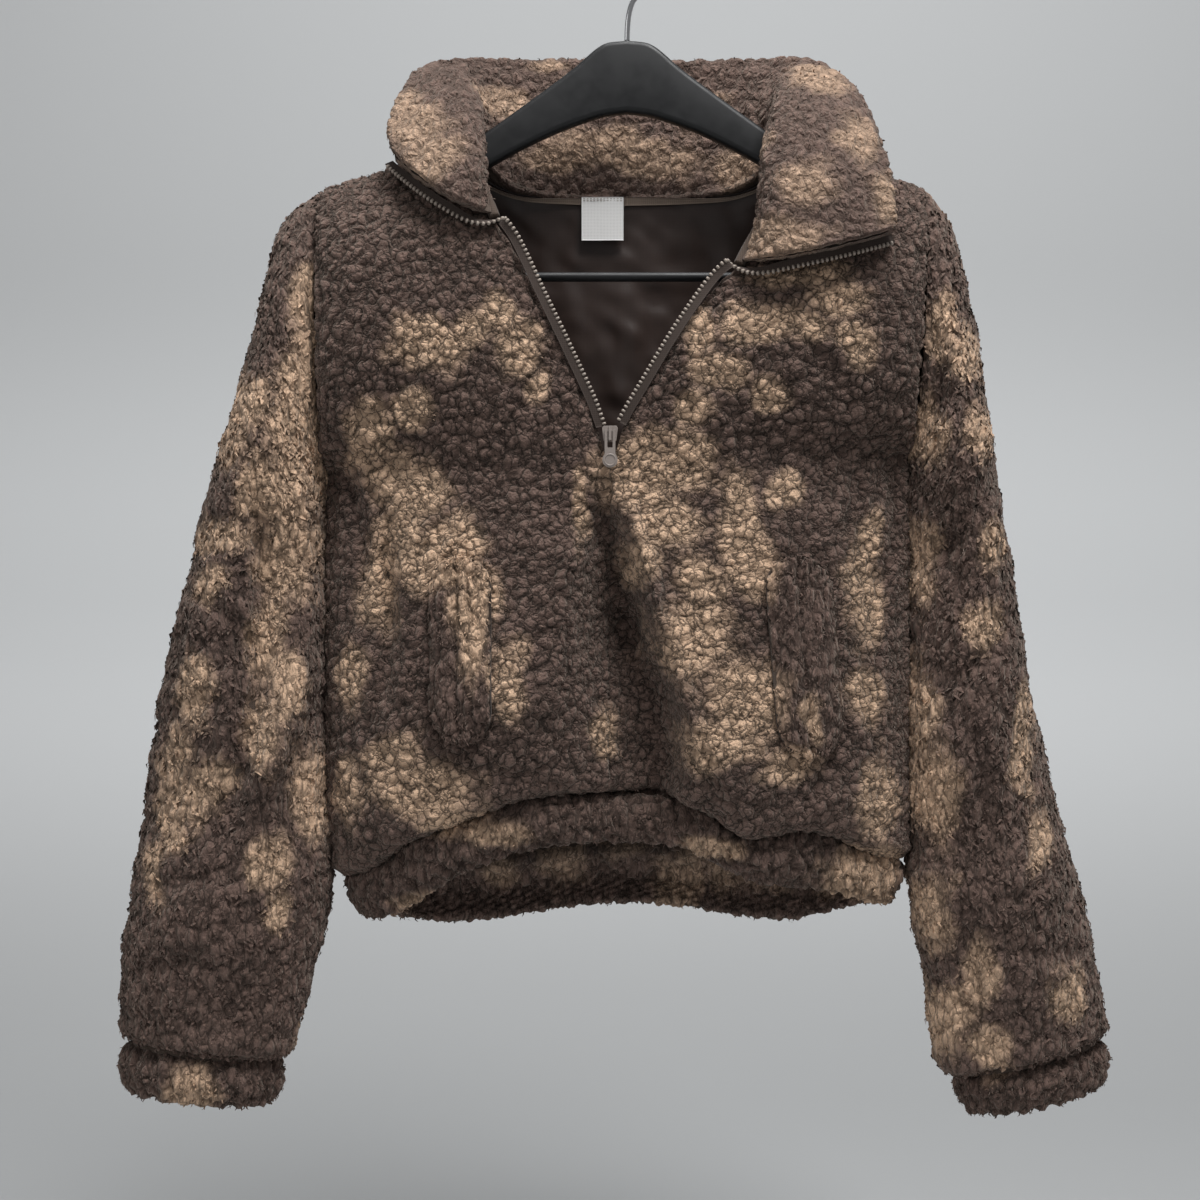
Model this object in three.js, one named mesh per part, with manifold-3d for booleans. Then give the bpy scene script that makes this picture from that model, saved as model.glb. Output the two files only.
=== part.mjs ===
// A cropped half-zip pullover of sherpa fleece, hanging open at the neck on a plastic hanger.
// Millimetres. X is the viewer's right, -Y is the front, +Z is up.
// The origin is the inside top of the hanger's hook, where a rail holds it.
import * as THREE from 'three';
import { mergeVertices } from 'three/addons/utils/BufferGeometryUtils.js';
import Module from 'manifold-3d';

const wasm = await Module();
wasm.setup();

// Walls, backing and pile together
const FLEECE = 8;
const COLLAR = 11;
const COLLAR_FOOT = 5;
const BAND = 9;
const LINING = 1;
const LINING_BEHIND_FLEECE = 0.8;
const SEAM_INSET = 0.35;
const COLLAR_INSET = 1.9;

// How finely the panels are cut up: steps along each seam
const SHOULDER_STEPS = 6;
const BACK_NECK_STEPS = 7;
const FRONT_NECK_STEPS = 4;
const ARMHOLE_STEPS = 12;
const SIDE_STEPS = 12;
const SLEEVE_STEPS = 18;
const COLLAR_STEPS = 7;
const BAND_STEPS = 3;
const CUFF_STEPS = 3;
const HALF_COLUMNS = SHOULDER_STEPS + BACK_NECK_STEPS;

// Where the front's slit for the zip ends, and the middle of the back
const SLIT_END = { x: -13, y: -58, z: -386 };
const BACK_MIDDLE = { x: -5, y: 60, z: -378 };
const SQUARENESS = 2.4;
const SWELL_FADE = 3.5;
const EDGE_CROWDING = 1.3;

// The two halves as the viewer sees them. "at" runs from 0 to 1 along each seam or edge.
// shoulder: tip to neck. neckline: neck side to the zip's corner. backNeck: neck side to the middle of the back.
// zipEdge: corner to the slit's end. side: armpit to hem seam. sleeve: armhole to cuff, each ring by its outermost
// and innermost point in the front view, its half depth and how far back its middle lies.
const LEFT = {
  name: 'left',
  sign: -1,
  shoulder: [
    { at: 0, x: -226, z: -177 },
    { at: 0.25, x: -200, z: -168 },
    { at: 0.5, x: -174, z: -158 },
    { at: 0.75, x: -147, z: -143 },
    { at: 1, x: -118, z: -122 },
  ],
  neckline: [
    { at: 0, x: -118, y: 0, z: -122 },
    { at: 0.35, x: -115, y: -25, z: -150 },
    { at: 0.7, x: -107, y: -44, z: -182 },
    { at: 1, x: -96, y: -56, z: -207 },
  ],
  backNeck: [
    { at: 0, x: -118, y: 0, z: -122 },
    { at: 0.25, x: -110, y: 21, z: -147 },
    { at: 0.5, x: -84, y: 36, z: -162 },
    { at: 0.75, x: -44, y: 46, z: -167 },
    { at: 1, x: 0, y: 49, z: -169 },
  ],
  zipEdge: [
    { at: 0, x: -96, y: -56, z: -207 },
    { at: 0.15, x: -82, y: -59, z: -228 },
    { at: 0.4, x: -63, y: -62, z: -266 },
    { at: 0.7, x: -41, y: -62, z: -311 },
    { at: 0.9, x: -23, y: -60, z: -351 },
    { at: 0.95, x: -19, y: -59, z: -368 },
    { at: 1, x: SLIT_END.x, y: SLIT_END.y, z: SLIT_END.z },
  ],
  side: [
    { at: 0, x: -221, z: -384 },
    { at: 0.33, x: -221, z: -484 },
    { at: 0.66, x: -221, z: -585 },
    { at: 0.9, x: -218, z: -652 },
    { at: 1, x: -207, z: -680 },
  ],
  sleeve: [
    { at: 0, outX: -226, outZ: -177, inX: -221, inZ: -384, depth: 42, back: 0 },
    { at: 0.07, outX: -252, outZ: -197, inX: -224, inZ: -389, depth: 51, back: 3 },
    { at: 0.14, outX: -264, outZ: -232, inX: -225, inZ: -396, depth: 56, back: 5 },
    { at: 0.23, outX: -278, outZ: -284, inX: -226, inZ: -407, depth: 59, back: 6 },
    { at: 0.32, outX: -292, outZ: -340, inX: -226, inZ: -426, depth: 60, back: 6 },
    { at: 0.41, outX: -308, outZ: -394, inX: -226, inZ: -454, depth: 59, back: 5 },
    { at: 0.5, outX: -321, outZ: -452, inX: -225, inZ: -495, depth: 56, back: 3 },
    { at: 0.59, outX: -335, outZ: -511, inX: -225, inZ: -544, depth: 52, back: 0 },
    { at: 0.68, outX: -347, outZ: -573, inX: -225, inZ: -597, depth: 49, back: -3 },
    { at: 0.78, outX: -356, outZ: -640, inX: -222, inZ: -660, depth: 46, back: -5 },
    { at: 0.87, outX: -365, outZ: -702, inX: -228, inZ: -716, depth: 43, back: -6 },
    { at: 0.94, outX: -371, outZ: -752, inX: -239, inZ: -766, depth: 40, back: -6 },
    { at: 0.98, outX: -371, outZ: -788, inX: -250, inZ: -800, depth: 35, back: -6 },
    { at: 1, outX: -366, outZ: -800, inX: -257, inZ: -812, depth: 29, back: -6 },
  ],
  zipEnd: 0.92,
  cuffEnd: { outX: -367, outZ: -837, inX: -262, inZ: -847, depth: 27, back: -6 },
};
const RIGHT = {
  name: 'right',
  sign: 1,
  shoulder: [
    { at: 0, x: 218, z: -174 },
    { at: 0.25, x: 196, z: -167 },
    { at: 0.5, x: 172, z: -157 },
    { at: 0.75, x: 147, z: -143 },
    { at: 1, x: 118, z: -122 },
  ],
  neckline: [
    { at: 0, x: 118, y: 0, z: -122 },
    { at: 0.35, x: 113, y: -25, z: -158 },
    { at: 0.7, x: 99, y: -44, z: -204 },
    { at: 1, x: 80, y: -56, z: -240 },
  ],
  backNeck: [
    { at: 0, x: 118, y: 0, z: -122 },
    { at: 0.25, x: 110, y: 21, z: -147 },
    { at: 0.5, x: 84, y: 36, z: -162 },
    { at: 0.75, x: 44, y: 46, z: -167 },
    { at: 1, x: 0, y: 49, z: -169 },
  ],
  zipEdge: [
    { at: 0, x: 80, y: -56, z: -240 },
    { at: 0.15, x: 63, y: -59, z: -255 },
    { at: 0.4, x: 39, y: -62, z: -286 },
    { at: 0.7, x: 14, y: -62, z: -326 },
    { at: 0.9, x: -3, y: -60, z: -355 },
    { at: 0.95, x: -7, y: -59, z: -368 },
    { at: 1, x: SLIT_END.x, y: SLIT_END.y, z: SLIT_END.z },
  ],
  side: [
    { at: 0, x: 206, z: -372 },
    { at: 0.33, x: 206, z: -470 },
    { at: 0.66, x: 206, z: -570 },
    { at: 0.9, x: 206, z: -638 },
    { at: 1, x: 201, z: -667 },
  ],
  sleeve: [
    { at: 0, outX: 218, outZ: -174, inX: 206, inZ: -372, depth: 42, back: 0 },
    { at: 0.07, outX: 238, outZ: -202, inX: 210, inZ: -377, depth: 52, back: 3 },
    { at: 0.14, outX: 248, outZ: -242, inX: 210, inZ: -384, depth: 58, back: 6 },
    { at: 0.23, outX: 257, outZ: -290, inX: 210, inZ: -396, depth: 63, back: 8 },
    { at: 0.32, outX: 265, outZ: -344, inX: 210, inZ: -415, depth: 66, back: 8 },
    { at: 0.41, outX: 273, outZ: -400, inX: 210, inZ: -444, depth: 66, back: 7 },
    { at: 0.5, outX: 282, outZ: -456, inX: 210, inZ: -487, depth: 63, back: 5 },
    { at: 0.59, outX: 289, outZ: -515, inX: 210, inZ: -540, depth: 59, back: 3 },
    { at: 0.68, outX: 302, outZ: -575, inX: 210, inZ: -598, depth: 55, back: 0 },
    { at: 0.78, outX: 320, outZ: -641, inX: 211, inZ: -661, depth: 50, back: -3 },
    { at: 0.87, outX: 335, outZ: -706, inX: 218, inZ: -722, depth: 45, back: -4 },
    { at: 0.94, outX: 347, outZ: -760, inX: 227, inZ: -778, depth: 41, back: -4 },
    { at: 0.98, outX: 351, outZ: -790, inX: 234, inZ: -812, depth: 35, back: -4 },
    { at: 1, outX: 347, outZ: -800, inX: 243, inZ: -824, depth: 29, back: -4 },
  ],
  zipEnd: 0.9,
  cuffEnd: { outX: 350, outZ: -832, inX: 254, inZ: -856, depth: 27, back: -4 },
};

// How far the front and back stand off the side seams, from armpit level down to the hem seam
const DEPTH = [
  { at: 0, front: 58, back: 60 },
  { at: 0.06, front: 58.1, back: 60 },
  { at: 0.25, front: 65, back: 61.5 },
  { at: 0.5, front: 71, back: 62 },
  { at: 0.75, front: 74, back: 60 },
  { at: 0.92, front: 68, back: 56 },
  { at: 1, front: 54, back: 46 },
];

// The hem seam's height across the front and the back
const FRONT_SEAM = [
  { x: -207, z: -680 },
  { x: -155, z: -653 },
  { x: -110, z: -634 },
  { x: -69, z: -620 },
  { x: 22, z: -620 },
  { x: 56, z: -632 },
  { x: 84, z: -648 },
  { x: 124, z: -644 },
  { x: 160, z: -653 },
  { x: 201, z: -667 },
];
const BACK_SEAM = [
  { x: -207, z: -680 },
  { x: -130, z: -688 },
  { x: 0, z: -676 },
  { x: 130, z: -684 },
  { x: 201, z: -667 },
];

// The hem band's lower edge
const BAND_END = { left: -192, right: 192, front: 48, back: 42, bulge: 6 };
const FRONT_EDGE = [
  { x: -192, z: -714 },
  { x: -160, z: -702 },
  { x: -110, z: -671 },
  { x: -48, z: -655 },
  { x: 20, z: -654 },
  { x: 51, z: -662 },
  { x: 90, z: -681 },
  { x: 147, z: -690 },
  { x: 192, z: -704 },
];
const BACK_EDGE = [
  { x: -192, z: -714 },
  { x: -130, z: -724 },
  { x: 0, z: -711 },
  { x: 120, z: -722 },
  { x: 192, z: -704 },
];
const CUFF_BULGE = 6;

// The sunk fold below the zip: its two ridges and its depth, by the distance below the origin
const FOLD = [
  { below: 392, left: -22, right: -12, depth: 0 },
  { below: 430, left: -36, right: -7, depth: 9 },
  { below: 478, left: -58, right: 9, depth: 21 },
  { below: 548, left: -80, right: 36, depth: 30 },
  { below: 620, left: -86, right: 58, depth: 22 },
  { below: 720, left: -90, right: 66, depth: 0 },
];
const FOLD_LEAN = 1.8;

// Soft swellings (positive) and hollows (negative) of the front: middle, reach across and down, height
const FRONT_SWELLS = [
  { x: -88, z: -545, across: 20, down: 42, height: 7 },
  { x: 72, z: -600, across: 24, down: 45, height: 8 },
  { x: -150, z: -640, across: 40, down: 22, height: 6 },
  { x: 140, z: -625, across: 42, down: 20, height: 6 },
  { x: -175, z: -455, across: 14, down: 60, height: -9 },
  { x: -152, z: -420, across: 12, down: 50, height: 5 },
  { x: 172, z: -450, across: 14, down: 60, height: -6 },
  { x: -40, z: -425, across: 18, down: 50, height: 4 },
];
const BACK_SWELLS = [
  { x: -95, z: -430, across: 16, down: 130, height: 7 },
  { x: -60, z: -450, across: 14, down: 120, height: -8 },
  { x: 20, z: -500, across: 18, down: 110, height: 6 },
  { x: 60, z: -440, across: 14, down: 130, height: -7 },
  { x: 105, z: -470, across: 18, down: 120, height: 6 },
  { x: 160, z: -430, across: 14, down: 70, height: -6 },
  { x: -160, z: -440, across: 14, down: 70, height: -6 },
];

// Soft folds round the sleeves: place along and round (in turns from the outer edge by the front), reach, height
const SLEEVE_SWELLS = [
  { at: 0.3, turn: 0.2, along: 0.1, round: 0.08, height: 6 },
  { at: 0.45, turn: 0.32, along: 0.08, round: 0.08, height: -7 },
  { at: 0.55, turn: 0.15, along: 0.1, round: 0.07, height: 5 },
  { at: 0.66, turn: 0.3, along: 0.07, round: 0.1, height: 6 },
  { at: 0.74, turn: 0.22, along: 0.05, round: 0.12, height: -5 },
  { at: 0.85, turn: 0.25, along: 0.06, round: 0.12, height: 5 },
  { at: 0.4, turn: 0.7, along: 0.09, round: 0.09, height: 6 },
  { at: 0.52, turn: 0.8, along: 0.08, round: 0.09, height: -6 },
  { at: 0.7, turn: 0.72, along: 0.07, round: 0.12, height: 5 },
];

// The collar, from the left front edge round the back to the right front edge: its top edge and the point that
// its side profile bends towards. It stands at the back and falls open at both fronts.
const COLLAR_TABLE = [
  { at: 0, x: -169, y: -46, z: -163, bendX: -122, bendY: -84, bendZ: -212 },
  { at: 0.07, x: -173, y: -32, z: -146, bendX: -100, bendY: -76, bendZ: -178 },
  { at: 0.15, x: -170, y: -10, z: -124, bendX: -98, bendY: -46, bendZ: -126 },
  { at: 0.25, x: -158, y: 22, z: -89, bendX: -112, bendY: 0, bendZ: -88 },
  { at: 0.33, x: -132, y: 46, z: -68, bendX: -108, bendY: 30, bendZ: -98 },
  { at: 0.41, x: -84, y: 64, z: -59, bendX: -74, bendY: 52, bendZ: -112 },
  { at: 0.5, x: 0, y: 70, z: -59, bendX: 0, bendY: 64, bendZ: -118 },
  { at: 0.59, x: 84, y: 64, z: -60, bendX: 74, bendY: 52, bendZ: -112 },
  { at: 0.67, x: 132, y: 46, z: -69, bendX: 108, bendY: 30, bendZ: -98 },
  { at: 0.75, x: 158, y: 22, z: -91, bendX: 110, bendY: -2, bendZ: -86 },
  { at: 0.84, x: 178, y: -20, z: -138, bendX: 90, bendY: -58, bendZ: -118 },
  { at: 0.92, x: 187, y: -53, z: -186, bendX: 84, bendY: -88, bendZ: -178 },
  { at: 1, x: 186, y: -66, z: -222, bendX: 106, bendY: -96, bendZ: -250 },
];

// Pocket welts: middle of the top and bottom ends, width, height above the fleece
const WELTS = [
  { name: 'pocket_welt_left', topX: -118, bottomX: -116, topZ: -448, bottomZ: -578, width: 44, height: 8 },
  { name: 'pocket_welt_right', topX: 118, bottomX: 128, topZ: -447, bottomZ: -588, width: 48, height: 8 },
];
const WELT_CLEARANCE = 1;

// Zip: tape beside the fleece's edge, slider at the slit's end, pull hinged on the slider's bridge
const ZIP = { tape: 5, wall: 1.2, off: 0.7, cornerOff: 3.6, sunk: 4, proud: 2, slit: 14, flap: 10, smoothing: 10 };
const SLIDER = { x: -13, y: -60, top: -356, height: 11, topWidth: 11, bottomWidth: 9, plate: 1.2, channel: 2.6 };
const POST = { width: 1.6, height: 4 };
const BRIDGE = { width: 2, rise: 3.8, wall: 1, top: -356.5, height: 10 };
const PULL = { length: 26, width: 7.6, wall: 1.6, slot: 3.6, slotLength: 12, eye: 10.8 };
const PULL_AXIS = { y: -63.9, z: -359.5 };

// Neck tape and label inside the back
const NECK_TAPE = { down: 0.031, outside: -11.8, inside: -12.8 };
const LABEL = { x: -18, y: 34, width: 32, height: 33, wall: 0.8, top: -171 };

// Hanger: one arm in the front view, along the top from the peak to the end and back below
const HANGER_TOP = [
  [0, -65], [18, -68], [40, -86], [75, -112], [112, -138], [150, -162.2], [175, -176.2], [198, -187.2], [212, -198],
];
const HANGER_BELOW = [
  [216, -206], [210, -213], [198, -211], [175, -203], [150, -190], [112, -164], [60, -136], [20, -121],
];
const HANGER_INNER_PEAK = -118;
const HANGER_WALL = 12;
const HANGER_ROUND = 4;
const BAR = { z: -239, diameter: 7, reach: 172, postTop: -203.8 };
const HOOK = { wire: 4, radius: 17, foot: -64.6, stem: [[0, -64.6], [0.3, -55], [1.5, -44], [4.5, -35]] };

const CLOTH = { color: 0x7b6a5e, roughness: 1, metalness: 0 };
const TAN = { color: 0xb0937a, roughness: 1, metalness: 0 };
const SATIN = { color: 0x4a403b, roughness: 0.45, metalness: 0 };
const TAPE = { color: 0x6b5f57, roughness: 0.9, metalness: 0 };
const WHITE = { color: 0xe8e6e2, roughness: 0.8, metalness: 0 };
const BLACK = { color: 0x15171a, roughness: 0.45, metalness: 0 };
const STEEL = { color: 0xc6c7c8, roughness: 0.25, metalness: 1 };
const PAINTED_ZIP = { color: 0x6f6661, roughness: 0.5, metalness: 0 };

const vector = (x, y, z) => new THREE.Vector3(x, y, z);
const clamp = (value, low, high) => Math.min(Math.max(value, low), high);
const mix = (a, b, t) => a + (b - a) * t;
const smooth = (t) => clamp(t, 0, 1) ** 2 * (3 - 2 * clamp(t, 0, 1));
const RING = ['outX', 'outZ', 'inX', 'inZ', 'depth', 'back'];

// One column of a table as a smooth curve over its key column.
function through(rows, key, name, at) {
  const last = rows.length - 1;
  let i = 0;
  while (i < last - 1 && at > rows[i + 1][key]) {
    i += 1;
  }
  const slope = (k) => {
    const before = rows[Math.max(k - 1, 0)];
    const after = rows[Math.min(k + 1, last)];
    return (after[name] - before[name]) / (after[key] - before[key]);
  };
  const span = rows[i + 1][key] - rows[i][key];
  const t = clamp((at - rows[i][key]) / span, 0, 1);
  const rise = t * t * (3 - 2 * t);
  const lift = t * (1 - t) ** 2 * slope(i) * span;
  const sink = t * t * (t - 1) * slope(i + 1) * span;
  return mix(rows[i][name], rows[i + 1][name], rise) + lift + sink;
}

const pointThrough = (rows, at) =>
  vector(through(rows, 'at', 'x', at), through(rows, 'at', 'y', at), through(rows, 'at', 'z', at));

// The sum of soft swellings at a place.
function swell(table, x, z) {
  let height = 0;
  for (const one of table) {
    const far = ((x - one.x) / one.across) ** 2 + ((z - one.z) / one.down) ** 2;
    height += one.height * Math.exp(-far);
  }
  return height;
}

// How far the front sinks into the fold below the zip: gentle from the left ridge, steep under the right one.
function foldDepth(x, z) {
  const below = clamp(-z, FOLD[0].below, FOLD.at(-1).below);
  const left = through(FOLD, 'below', 'left', below);
  const right = through(FOLD, 'below', 'right', below);
  const across = clamp((x - left) / (right - left), 0, 1);
  return through(FOLD, 'below', 'depth', below) * Math.sin(Math.PI * across ** FOLD_LEAN);
}

// A point of a sleeve: at runs from armhole to cuff, turn goes round from the outer edge by the front.
function sleevePoint(half, at, turn) {
  const ring = {};
  for (const name of RING) {
    ring[name] = through(half.sleeve, 'at', name, at);
  }
  let swelling = 0;
  for (const one of SLEEVE_SWELLS) {
    const round = ((turn - one.turn + 1.5) % 1) - 0.5;
    swelling += one.height * Math.exp(-(((at - one.at) / one.along) ** 2) - (round / one.round) ** 2);
  }
  const fade = Math.min(1, at / 0.1) * Math.min(1, (1 - at) / 0.1);
  return ringPoint(ring, turn, swelling * fade);
}

// A point of an oval ring through an outermost and an innermost point, moved out by extra.
function ringPoint(ring, turn, extra) {
  const angle = turn * 2 * Math.PI;
  const halfX = (ring.outX - ring.inX) / 2;
  const halfZ = (ring.outZ - ring.inZ) / 2;
  const grow = 1 + extra / Math.hypot(halfX, halfZ);
  return vector(
    (ring.outX + ring.inX) / 2 + halfX * Math.cos(angle) * grow,
    ring.back - (ring.depth + extra) * Math.sin(angle),
    (ring.outZ + ring.inZ) / 2 + halfZ * Math.cos(angle) * grow,
  );
}

// A point of the body below the armpits. face is 'front' or 'back', q runs from side seam to middle.
function lowerPoint(half, face, q, t) {
  const middle = face === 'front' ? SLIT_END : BACK_MIDDLE;
  const seam = face === 'front' ? FRONT_SEAM : BACK_SEAM;
  const sideX = through(half.side, 'at', 'x', t);
  const across = q ** EDGE_CROWDING;
  const out = (1 - (1 - across) ** SQUARENESS) ** (1 / SQUARENESS);
  const x = mix(sideX, middle.x, across);
  const topZ = mix(half.side[0].z, middle.z, across);
  const middleZ = mix(topZ, through(seam, 'x', 'z', x), t);
  const sideZ = mix(half.side[0].z, half.side.at(-1).z, t);
  const z = mix(sideZ, middleZ, Math.min(1, q * 3));
  const depth = through(DEPTH, 'at', face, t) * out;
  const reach = out * smooth(t * SWELL_FADE);
  if (face === 'back') {
    return vector(x, depth + swell(BACK_SWELLS, x, z) * reach, z);
  }
  return vector(x, -depth + foldDepth(x, z) - swell(FRONT_SWELLS, x, z) * reach, z);
}

// The top edge of a panel's half: the shoulder seam, and behind it the back's neckline too.
function topPoint(half, face, q) {
  const turn = face === 'front' ? 1 : SHOULDER_STEPS / HALF_COLUMNS;
  if (q <= turn) {
    const at = q / turn;
    return vector(through(half.shoulder, 'at', 'x', at), 0, through(half.shoulder, 'at', 'z', at));
  }
  return pointThrough(half.backNeck, (q - turn) / (1 - turn));
}

// The edge of a panel's half nearest to the middle: neckline and zip edge in front, a plain line behind.
function innerPoint(half, face, t) {
  if (face === 'back') {
    const start = half.backNeck.at(-1);
    return vector(mix(start.x, BACK_MIDDLE.x, t), mix(start.y, BACK_MIDDLE.y, t), mix(start.z, BACK_MIDDLE.z, t));
  }
  const turn = FRONT_NECK_STEPS / ARMHOLE_STEPS;
  if (t <= turn) {
    return pointThrough(half.neckline, t / turn);
  }
  return pointThrough(half.zipEdge, (t - turn) / (1 - turn));
}

// A point of the body above the armpits: a patch between shoulder, armhole, zip edge or back middle, and chest.
function upperPoint(half, face, q, t) {
  const turn = face === 'front' ? t / 2 : 1 - t / 2;
  const armhole = sleevePoint(half, 0, turn);
  const inner = innerPoint(half, face, t);
  const top = topPoint(half, face, q);
  const chest = lowerPoint(half, face, q, 0);
  const corners = [
    sleevePoint(half, 0, 0),
    topPoint(half, face, 1),
    sleevePoint(half, 0, 0.5),
    lowerPoint(half, face, 1, 0),
  ];
  const round = Math.sqrt(t * (2 - t));
  const patch = (name, down) => {
    const sides = mix(armhole[name], inner[name], q);
    const ends = mix(top[name], chest[name], down);
    const a = mix(corners[0][name], corners[1][name], q);
    const b = mix(corners[2][name], corners[3][name], q);
    return sides + ends - mix(a, b, down);
  };
  return vector(patch('x', t), patch('y', round), patch('z', t));
}

function bodyPoint(half, face, q, row) {
  if (row <= ARMHOLE_STEPS) {
    return upperPoint(half, face, q, row / ARMHOLE_STEPS);
  }
  return lowerPoint(half, face, q, (row - ARMHOLE_STEPS) / SIDE_STEPS);
}

// A point of the hem band, v from the seam to the lower edge.
function bandPoint(half, face, q, v) {
  const top = lowerPoint(half, face, q, 1);
  const middle = face === 'front' ? SLIT_END : BACK_MIDDLE;
  const edge = face === 'front' ? FRONT_EDGE : BACK_EDGE;
  const across = q ** EDGE_CROWDING;
  const out = (1 - (1 - across) ** SQUARENESS) ** (1 / SQUARENESS);
  const sign = face === 'front' ? -1 : 1;
  const x = mix(half.sign < 0 ? BAND_END.left : BAND_END.right, middle.x, across);
  const y = sign * out * BAND_END[face] + (face === 'front' ? foldDepth(x, top.z) * 0.6 : 0);
  const z = through(edge, 'x', 'z', x);
  const bulge = BAND_END.bulge * Math.sin(Math.PI * v);
  return vector(
    mix(top.x, x, v) + half.sign * bulge * (1 - across) ** 4,
    mix(top.y, y, v) + sign * bulge * out,
    mix(top.z, z, v),
  );
}

// The collar's base runs along the necklines. u is 0 at the left front edge and 1 at the right one.
function collarPoint(u, v) {
  const quarter = u * 4;
  const half = u <= 0.5 ? LEFT : RIGHT;
  const inward = u <= 0.5 ? quarter : 4 - quarter;
  const base = inward <= 1 ? pointThrough(half.neckline, 1 - inward) : pointThrough(half.backNeck, inward - 1);
  const value = (name) => through(COLLAR_TABLE, 'at', name, u);
  const bend = vector(value('bendX'), value('bendY'), value('bendZ'));
  const top = vector(value('x'), value('y'), value('z'));
  const first = base.clone().multiplyScalar((1 - v) ** 2);
  return first.addScaledVector(bend, 2 * v * (1 - v)).addScaledVector(top, v * v);
}

// A grid of points with rows of columns. flip says that its front side is on the other side.
function grid(rows, columns, flip, pointAt) {
  const points = [];
  for (let r = 0; r <= rows; r += 1) {
    const line = [];
    for (let c = 0; c <= columns; c += 1) {
      const point = pointAt(r, c);
      point.down = r / rows;
      point.across = c / columns;
      line.push(point);
    }
    points.push(line);
  }
  return { points, flip };
}

function bodyHalf(half, face) {
  const rows = ARMHOLE_STEPS + SIDE_STEPS;
  const flip = (face === 'front') === (half === LEFT);
  return grid(rows, HALF_COLUMNS, flip, (r, c) => bodyPoint(half, face, c / HALF_COLUMNS, r));
}

function sleeveGrid(half) {
  const round = 2 * ARMHOLE_STEPS;
  return grid(SLEEVE_STEPS, round, half === LEFT, (r, c) => sleevePoint(half, r / SLEEVE_STEPS, (c % round) / round));
}

function cuffGrid(half) {
  const round = 2 * ARMHOLE_STEPS;
  return grid(CUFF_STEPS, round, half === LEFT, (r, c) => {
    const v = r / CUFF_STEPS;
    const start = half.sleeve.at(-1);
    const ring = {};
    for (const name of RING) {
      ring[name] = mix(start[name], half.cuffEnd[name], v);
    }
    return ringPoint(ring, (c % round) / round, CUFF_BULGE * Math.sin(Math.PI * v));
  });
}

// The hem band goes round: front left to right, then back right to left.
function bandGrid() {
  const round = 4 * HALF_COLUMNS;
  return grid(BAND_STEPS, round, true, (r, c) => {
    const place = (c % round) / HALF_COLUMNS;
    const v = r / BAND_STEPS;
    if (place <= 1) {
      return bandPoint(LEFT, 'front', place, v);
    }
    if (place <= 2) {
      return bandPoint(RIGHT, 'front', 2 - place, v);
    }
    if (place <= 3) {
      return bandPoint(RIGHT, 'back', place - 2, v);
    }
    return bandPoint(LEFT, 'back', 4 - place, v);
  });
}

// The collar's columns are the neckline's own steps: a quarter of it for each front and half for the back.
function collarGrid() {
  const back = 2 * BACK_NECK_STEPS;
  const placeOf = (c) => {
    if (c <= FRONT_NECK_STEPS) {
      return 0.25 * c / FRONT_NECK_STEPS;
    }
    if (c <= FRONT_NECK_STEPS + back) {
      return 0.25 + 0.5 * (c - FRONT_NECK_STEPS) / back;
    }
    return 0.75 + 0.25 * (c - FRONT_NECK_STEPS - back) / FRONT_NECK_STEPS;
  };
  const columns = 2 * FRONT_NECK_STEPS + back;
  return grid(COLLAR_STEPS, columns, true, (r, c) => collarPoint(placeOf(c), r / COLLAR_STEPS));
}

// The corners of each four-sided cell, turned so that they run anticlockwise seen from the front side.
function cells(sheet) {
  const list = [];
  for (let r = 0; r + 1 < sheet.points.length; r += 1) {
    for (let c = 0; c + 1 < sheet.points[0].length; c += 1) {
      const loop = [sheet.points[r][c], sheet.points[r][c + 1], sheet.points[r + 1][c + 1], sheet.points[r + 1][c]];
      list.push(sheet.flip ? loop.reverse() : loop);
    }
  }
  return list;
}

const keyOf = (p) => `${Math.round(p.x * 500)} ${Math.round(p.y * 500)} ${Math.round(p.z * 500)}`;

// The direction out of the cloth at every point, shared by all the pieces that meet there. Shoulder and side seams
// lie in the plane y = 0, and so do their directions.
function directions(sheets) {
  const found = new Map();
  for (const loop of sheets.flatMap(cells)) {
    const first = vector(0, 0, 0).subVectors(loop[2], loop[0]);
    const second = vector(0, 0, 0).subVectors(loop[3], loop[1]);
    const facing = first.cross(second);
    for (const key of new Set(loop.map(keyOf))) {
      found.set(key, (found.get(key) ?? vector(0, 0, 0)).add(facing));
    }
  }
  for (const [key, facing] of found) {
    if (key.split(' ')[1] === '0') {
      facing.y = 0;
    }
    facing.normalize();
  }
  return found;
}

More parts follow.
